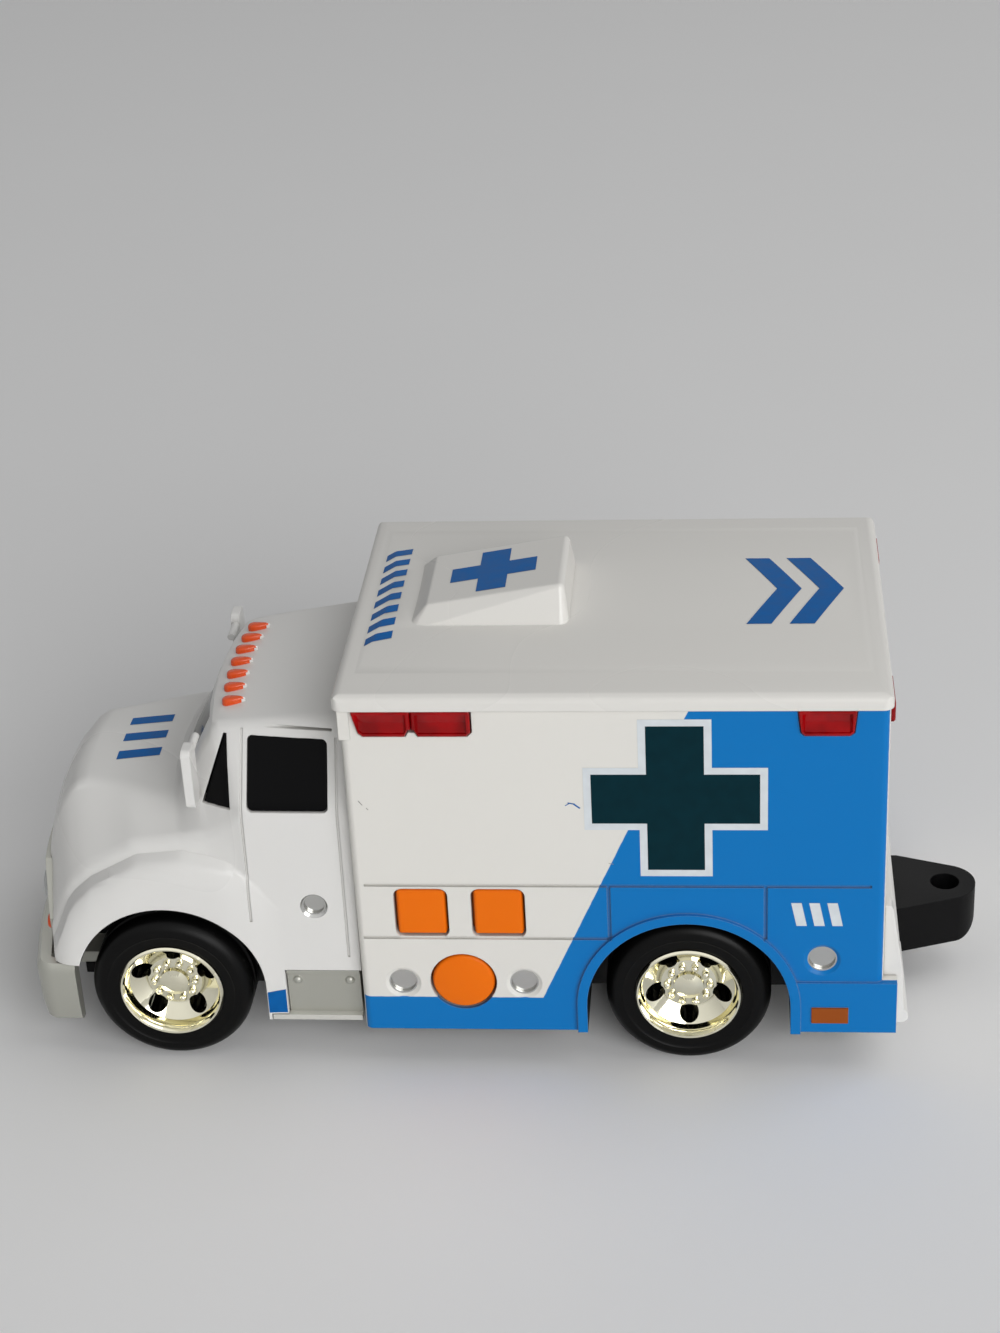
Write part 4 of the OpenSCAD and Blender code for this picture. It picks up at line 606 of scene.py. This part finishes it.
# a thin print: quads in a flat plan, cut fine and laid on a node
def printOn(name, quads, way, target, key, liftMm, stepMm):
    verts, faces = [], []
    for quad in quads:
        a, b, c, d = [Vector(p) for p in quad]
        n = max(1, math.ceil(max((b - a).length, (c - d).length) / stepMm))
        m = max(1, math.ceil(max((d - a).length, (c - b).length) / stepMm))
        start = len(verts)
        for i in range(n + 1):
            for j in range(m + 1):
                p = a.lerp(b, i / n).lerp(d.lerp(c, i / n), j / m)
                spot, along = meet(target, way, p.x, p.y)
                verts.append(spot - along * liftMm)
        faces += [(k, k + 1, k + m + 2, k + m + 1) for i in range(n) for j in range(m)
                  for k in [start + i * (m + 1) + j]]
    mesh = bpy.data.meshes.new(name)
    mesh.from_pydata([v * mm for v in verts], [], faces)
    mesh.materials.append(finishes[key])
    smoothTo(mesh, 40)
    place(name, mesh, "truck")


def bar(x0, y0, x1, y1):
    return [(x0, y0), (x1, y0), (x1, y1), (x0, y1)]


def cross(x, y, reach, half):
    return [bar(x - reach, y - half, x - half, y + half),
            bar(x - half, y - reach, x + half, y + reach),
            bar(x + half, y - half, x + reach, y + half)]


# plain cross with an outline on both sides of the box, and a small one on the vent
sideCross = {"x": -27.7, "z": 47.5, "reach": 12.0, "half": 4.1, "outline": 1.1}
ventCross = {"x": -0.6, "y": 0.0, "reach": 6.4, "half": 2.2}
for side in ("left", "right"):
    x, z, grown = sideCross["x"], sideCross["z"], sideCross["outline"]
    reach, half = sideCross["reach"], sideCross["half"]
    printOn(f"cross_outline_{side}", cross(x, z, reach + grown, half + grown), side, "box_shell",
            "whiteInk", 0.03, 4)
    printOn(f"cross_{side}", cross(x, z, reach, half), side, "box_shell", "tealInk", 0.06, 4)
printOn("vent_cross", cross(ventCross["x"], ventCross["y"], ventCross["reach"], ventCross["half"]),
        "top", "roof_cover", "blueInk", 0.05, 0.5)


# rows of slanted bars, and two chevrons: first corner, size, lean, number and pitch along the row
sideBars = {"x": -51.7, "z": 25.8, "width": 1.5, "height": 4.0, "lean": 0.8, "count": 3, "pitch": 2.6}
roofBars = {"x": 13.4, "y": -15.4, "length": 3.9, "width": 2.1, "lean": 1.4, "count": 8, "pitch": 3.9}
bonnetBars = {"x": 52.2, "y": -7.4, "length": 6.6, "width": 2.3, "lean": 1.1, "count": 3, "pitch": 5.2}
chevrons = {"x": -52.3, "half": 10.6, "depth": 4.6, "width": 3.6, "count": 2, "pitch": 6.2}
for side in ("left", "right"):
    quads = []
    for i in range(sideBars["count"]):
        x0, z0 = sideBars["x"] + i * sideBars["pitch"], sideBars["z"]
        x1, z1, lean = x0 + sideBars["width"], z0 + sideBars["height"], sideBars["lean"]
        quads.append([(x0, z0), (x1, z0), (x1 + lean, z1), (x0 + lean, z1)])
    printOn(f"side_bars_{side}", quads, side, "box_shell", "whiteInk", 0.04, 2)
for name, row, target in (("roof_bars", roofBars, "roof_cover"),
                          ("bonnet_bars", bonnetBars, "cab_shell")):
    quads = []
    for i in range(row["count"]):
        x0, y0 = row["x"], row["y"] + i * row["pitch"]
        x1, lean, width = x0 + row["length"], row["lean"], row["width"]
        quads.append([(x0, y0), (x1, y0 + lean), (x1, y0 + lean + width), (x0, y0 + width)])
    printOn(name, quads, "top", target, "blueInk", 0.05, 0.4)
quads = []
for i in range(chevrons["count"]):
    x = chevrons["x"] + i * chevrons["pitch"]
    far, wide, half = x + chevrons["depth"], chevrons["width"], chevrons["half"]
    quads.append([(x, 0), (x + wide, 0), (far + wide, half), (far, half)])
    quads.append([(far, -half), (far + wide, -half), (x + wide, 0), (x, 0)])
printOn("roof_chevrons", quads, "top", "roof_cover", "blueInk", 0.05, 0.5)

# blue runs on over the cab's skirt, between the step and the wheel arch
skirt = {"x0": 31.95, "x1": 34.75, "z0": 7.9, "rearZ": 12.1, "frontZ": 11.6}
quads = [[(skirt["x0"], skirt["z0"]), (skirt["x1"], skirt["z0"]),
          (skirt["x1"], skirt["frontZ"]), (skirt["x0"], skirt["rearZ"])]]
for side in ("left", "right"):
    printOn(f"skirt_print_{side}", quads, side, "cab_shell", "blueInk", 0.05, 0.5)

# play marks on the driver's side, a blue smear and three grey scuffs, as strokes (x, z, to x, to z, width)
smear = [(-14.0, 45.9, -13.2, 46.7, 0.35), (-13.3, 46.6, -12.3, 46.9, 0.28),
         (-12.5, 46.7, -11.9, 46.4, 0.2)]
scuffs = [(17.4, 46.4, 17.9, 47.2, 0.2), (16.6, 45.6, 16.8, 46.0, 0.16),
          (-18.6, 36.4, -17.9, 36.6, 0.12)]
strokeEnds = {"start": 0.4, "stop": 0.3}
for name, marks, key in (("blue_smear", smear, "blueInk"), ("grey_scuffs", scuffs, "scuffGrey")):
    quads = []
    for x0, z0, x1, z1, wide in marks:
        across = Vector((z0 - z1, x1 - x0)).normalized() * wide / 2
        start, stop = across * strokeEnds["start"], across * strokeEnds["stop"]
        quads.append([(x0 - start.x, z0 - start.y), (x1 - across.x, z1 - across.y),
                      (x1 + stop.x, z1 + stop.y), (x0 + across.x, z0 + across.y)])
    printOn(name, quads, "left", "box_shell", key, 0.02, 0.5)
print("stage: prints")

# the photograph's own view
view = {"place": (-35.87, 333.89, 237.66), "across": (-0.99577, -0.07834, -0.04808),
        "up": (-0.00430, -0.48294, 0.87565), "along": (0.09182, -0.87215, -0.48056), "lens": 68.1}
eye = bpy.data.cameras.new("photo_view")
eye.sensor_width = 36.0
eye.lens = view["lens"]
eye.clip_start = 0.01
camera = added("photo_view", eye)
columns = [Vector(view["across"]), Vector(view["up"]), -Vector(view["along"]),
           Vector(view["place"]) * mm]
camera.matrix_world = Matrix([[c[i] for c in columns] for i in range(3)] + [[0, 0, 0, 1]])
bpy.context.scene.camera = camera

# pale matt paper on the table
paper = finish("pale_matt_paper", {
    "colour": "#F8F8F8", "rough": (0.6, 0.7), "gloss": 0.2, "cloudMm": 80, "mottle": 0.02,
    "grainMm": 0.6, "bump": 0.04})
sheet = bpy.data.meshes.new("paper_floor")
reach = 3000 * mm
corners = [(-reach, -reach, 0), (reach, -reach, 0), (reach, reach, 0), (-reach, reach, 0)]
sheet.from_pydata(corners, [], [(0, 1, 2, 3)])
sheet.materials.append(paper)
floor = added("paper_floor", sheet)

# a wide soft lamp on the camera's side, towards the tail, and a weaker one overhead, in metres and watts
softboxes = [
    {"name": "front_softbox", "at": (-0.85, 1.45, 0.75), "size": (1.4, 1.0), "watts": 21.8},
    {"name": "top_softbox", "at": (-0.95, -0.15, 1.45), "size": (1.3, 1.3), "watts": 5.4},
]
aim = Vector((0, 0, 0.03))
for lamp in softboxes:
    light = bpy.data.lights.new(lamp["name"], "AREA")
    light.shape = "RECTANGLE"
    light.size, light.size_y = lamp["size"]
    light.energy = lamp["watts"]
    holder = added(lamp["name"], light)
    at = Vector(lamp["at"])
    turn = (at - aim).to_track_quat("Z", "Y").to_matrix().to_4x4()
    holder.matrix_world = Matrix.Translation(at) @ turn

# a dim even room for soft light; the eye and the plated pieces see pale walls, lighter upwards
walls = {"light": "#D2D2D2", "strength": 0.33, "low": "#BEBEBE", "high": "#F8F8F8", "highAt": 0.7}
room = bpy.data.worlds.new("room")
bpy.context.scene.world = room
room.use_nodes = True
tree = room.node_tree
tree.nodes.clear()
wall = put(tree, "ShaderNodeBackground", None, {
    "Color": linear(walls["light"]), "Strength": walls["strength"]})
where = put(tree, "ShaderNodeTexCoord").outputs["Generated"]
upward = put(tree, "ShaderNodeSeparateXYZ", None, {"Vector": where}).outputs["Z"]
lighter = put(tree, "ShaderNodeMapRange", None, {
    "Value": upward, "From Max": walls["highAt"]}).outputs["Result"]
pale = put(tree, "ShaderNodeMix", {"data_type": "RGBA"}, {
    "Factor": lighter, "A": linear(walls["low"]), "B": linear(walls["high"])}).outputs["Result"]
backdrop = put(tree, "ShaderNodeBackground", None, {"Color": pale})
rays = put(tree, "ShaderNodeLightPath").outputs
direct = put(tree, "ShaderNodeMath", {"operation": "MAXIMUM"}, {
    0: rays["Is Camera Ray"], 1: rays["Is Glossy Ray"]}).outputs[0]
seen = put(tree, "ShaderNodeMath", {"operation": "MAXIMUM"}, {
    0: direct, 1: rays["Is Transmission Ray"]}).outputs[0]
around = put(tree, "ShaderNodeMixShader", None, {
    0: seen, 1: wall.outputs["Background"], 2: backdrop.outputs["Background"]})
put(tree, "ShaderNodeOutputWorld", None, {"Surface": around.outputs["Shader"]})
bpy.context.scene.view_settings.view_transform = "Standard"
print("stage: camera and light")
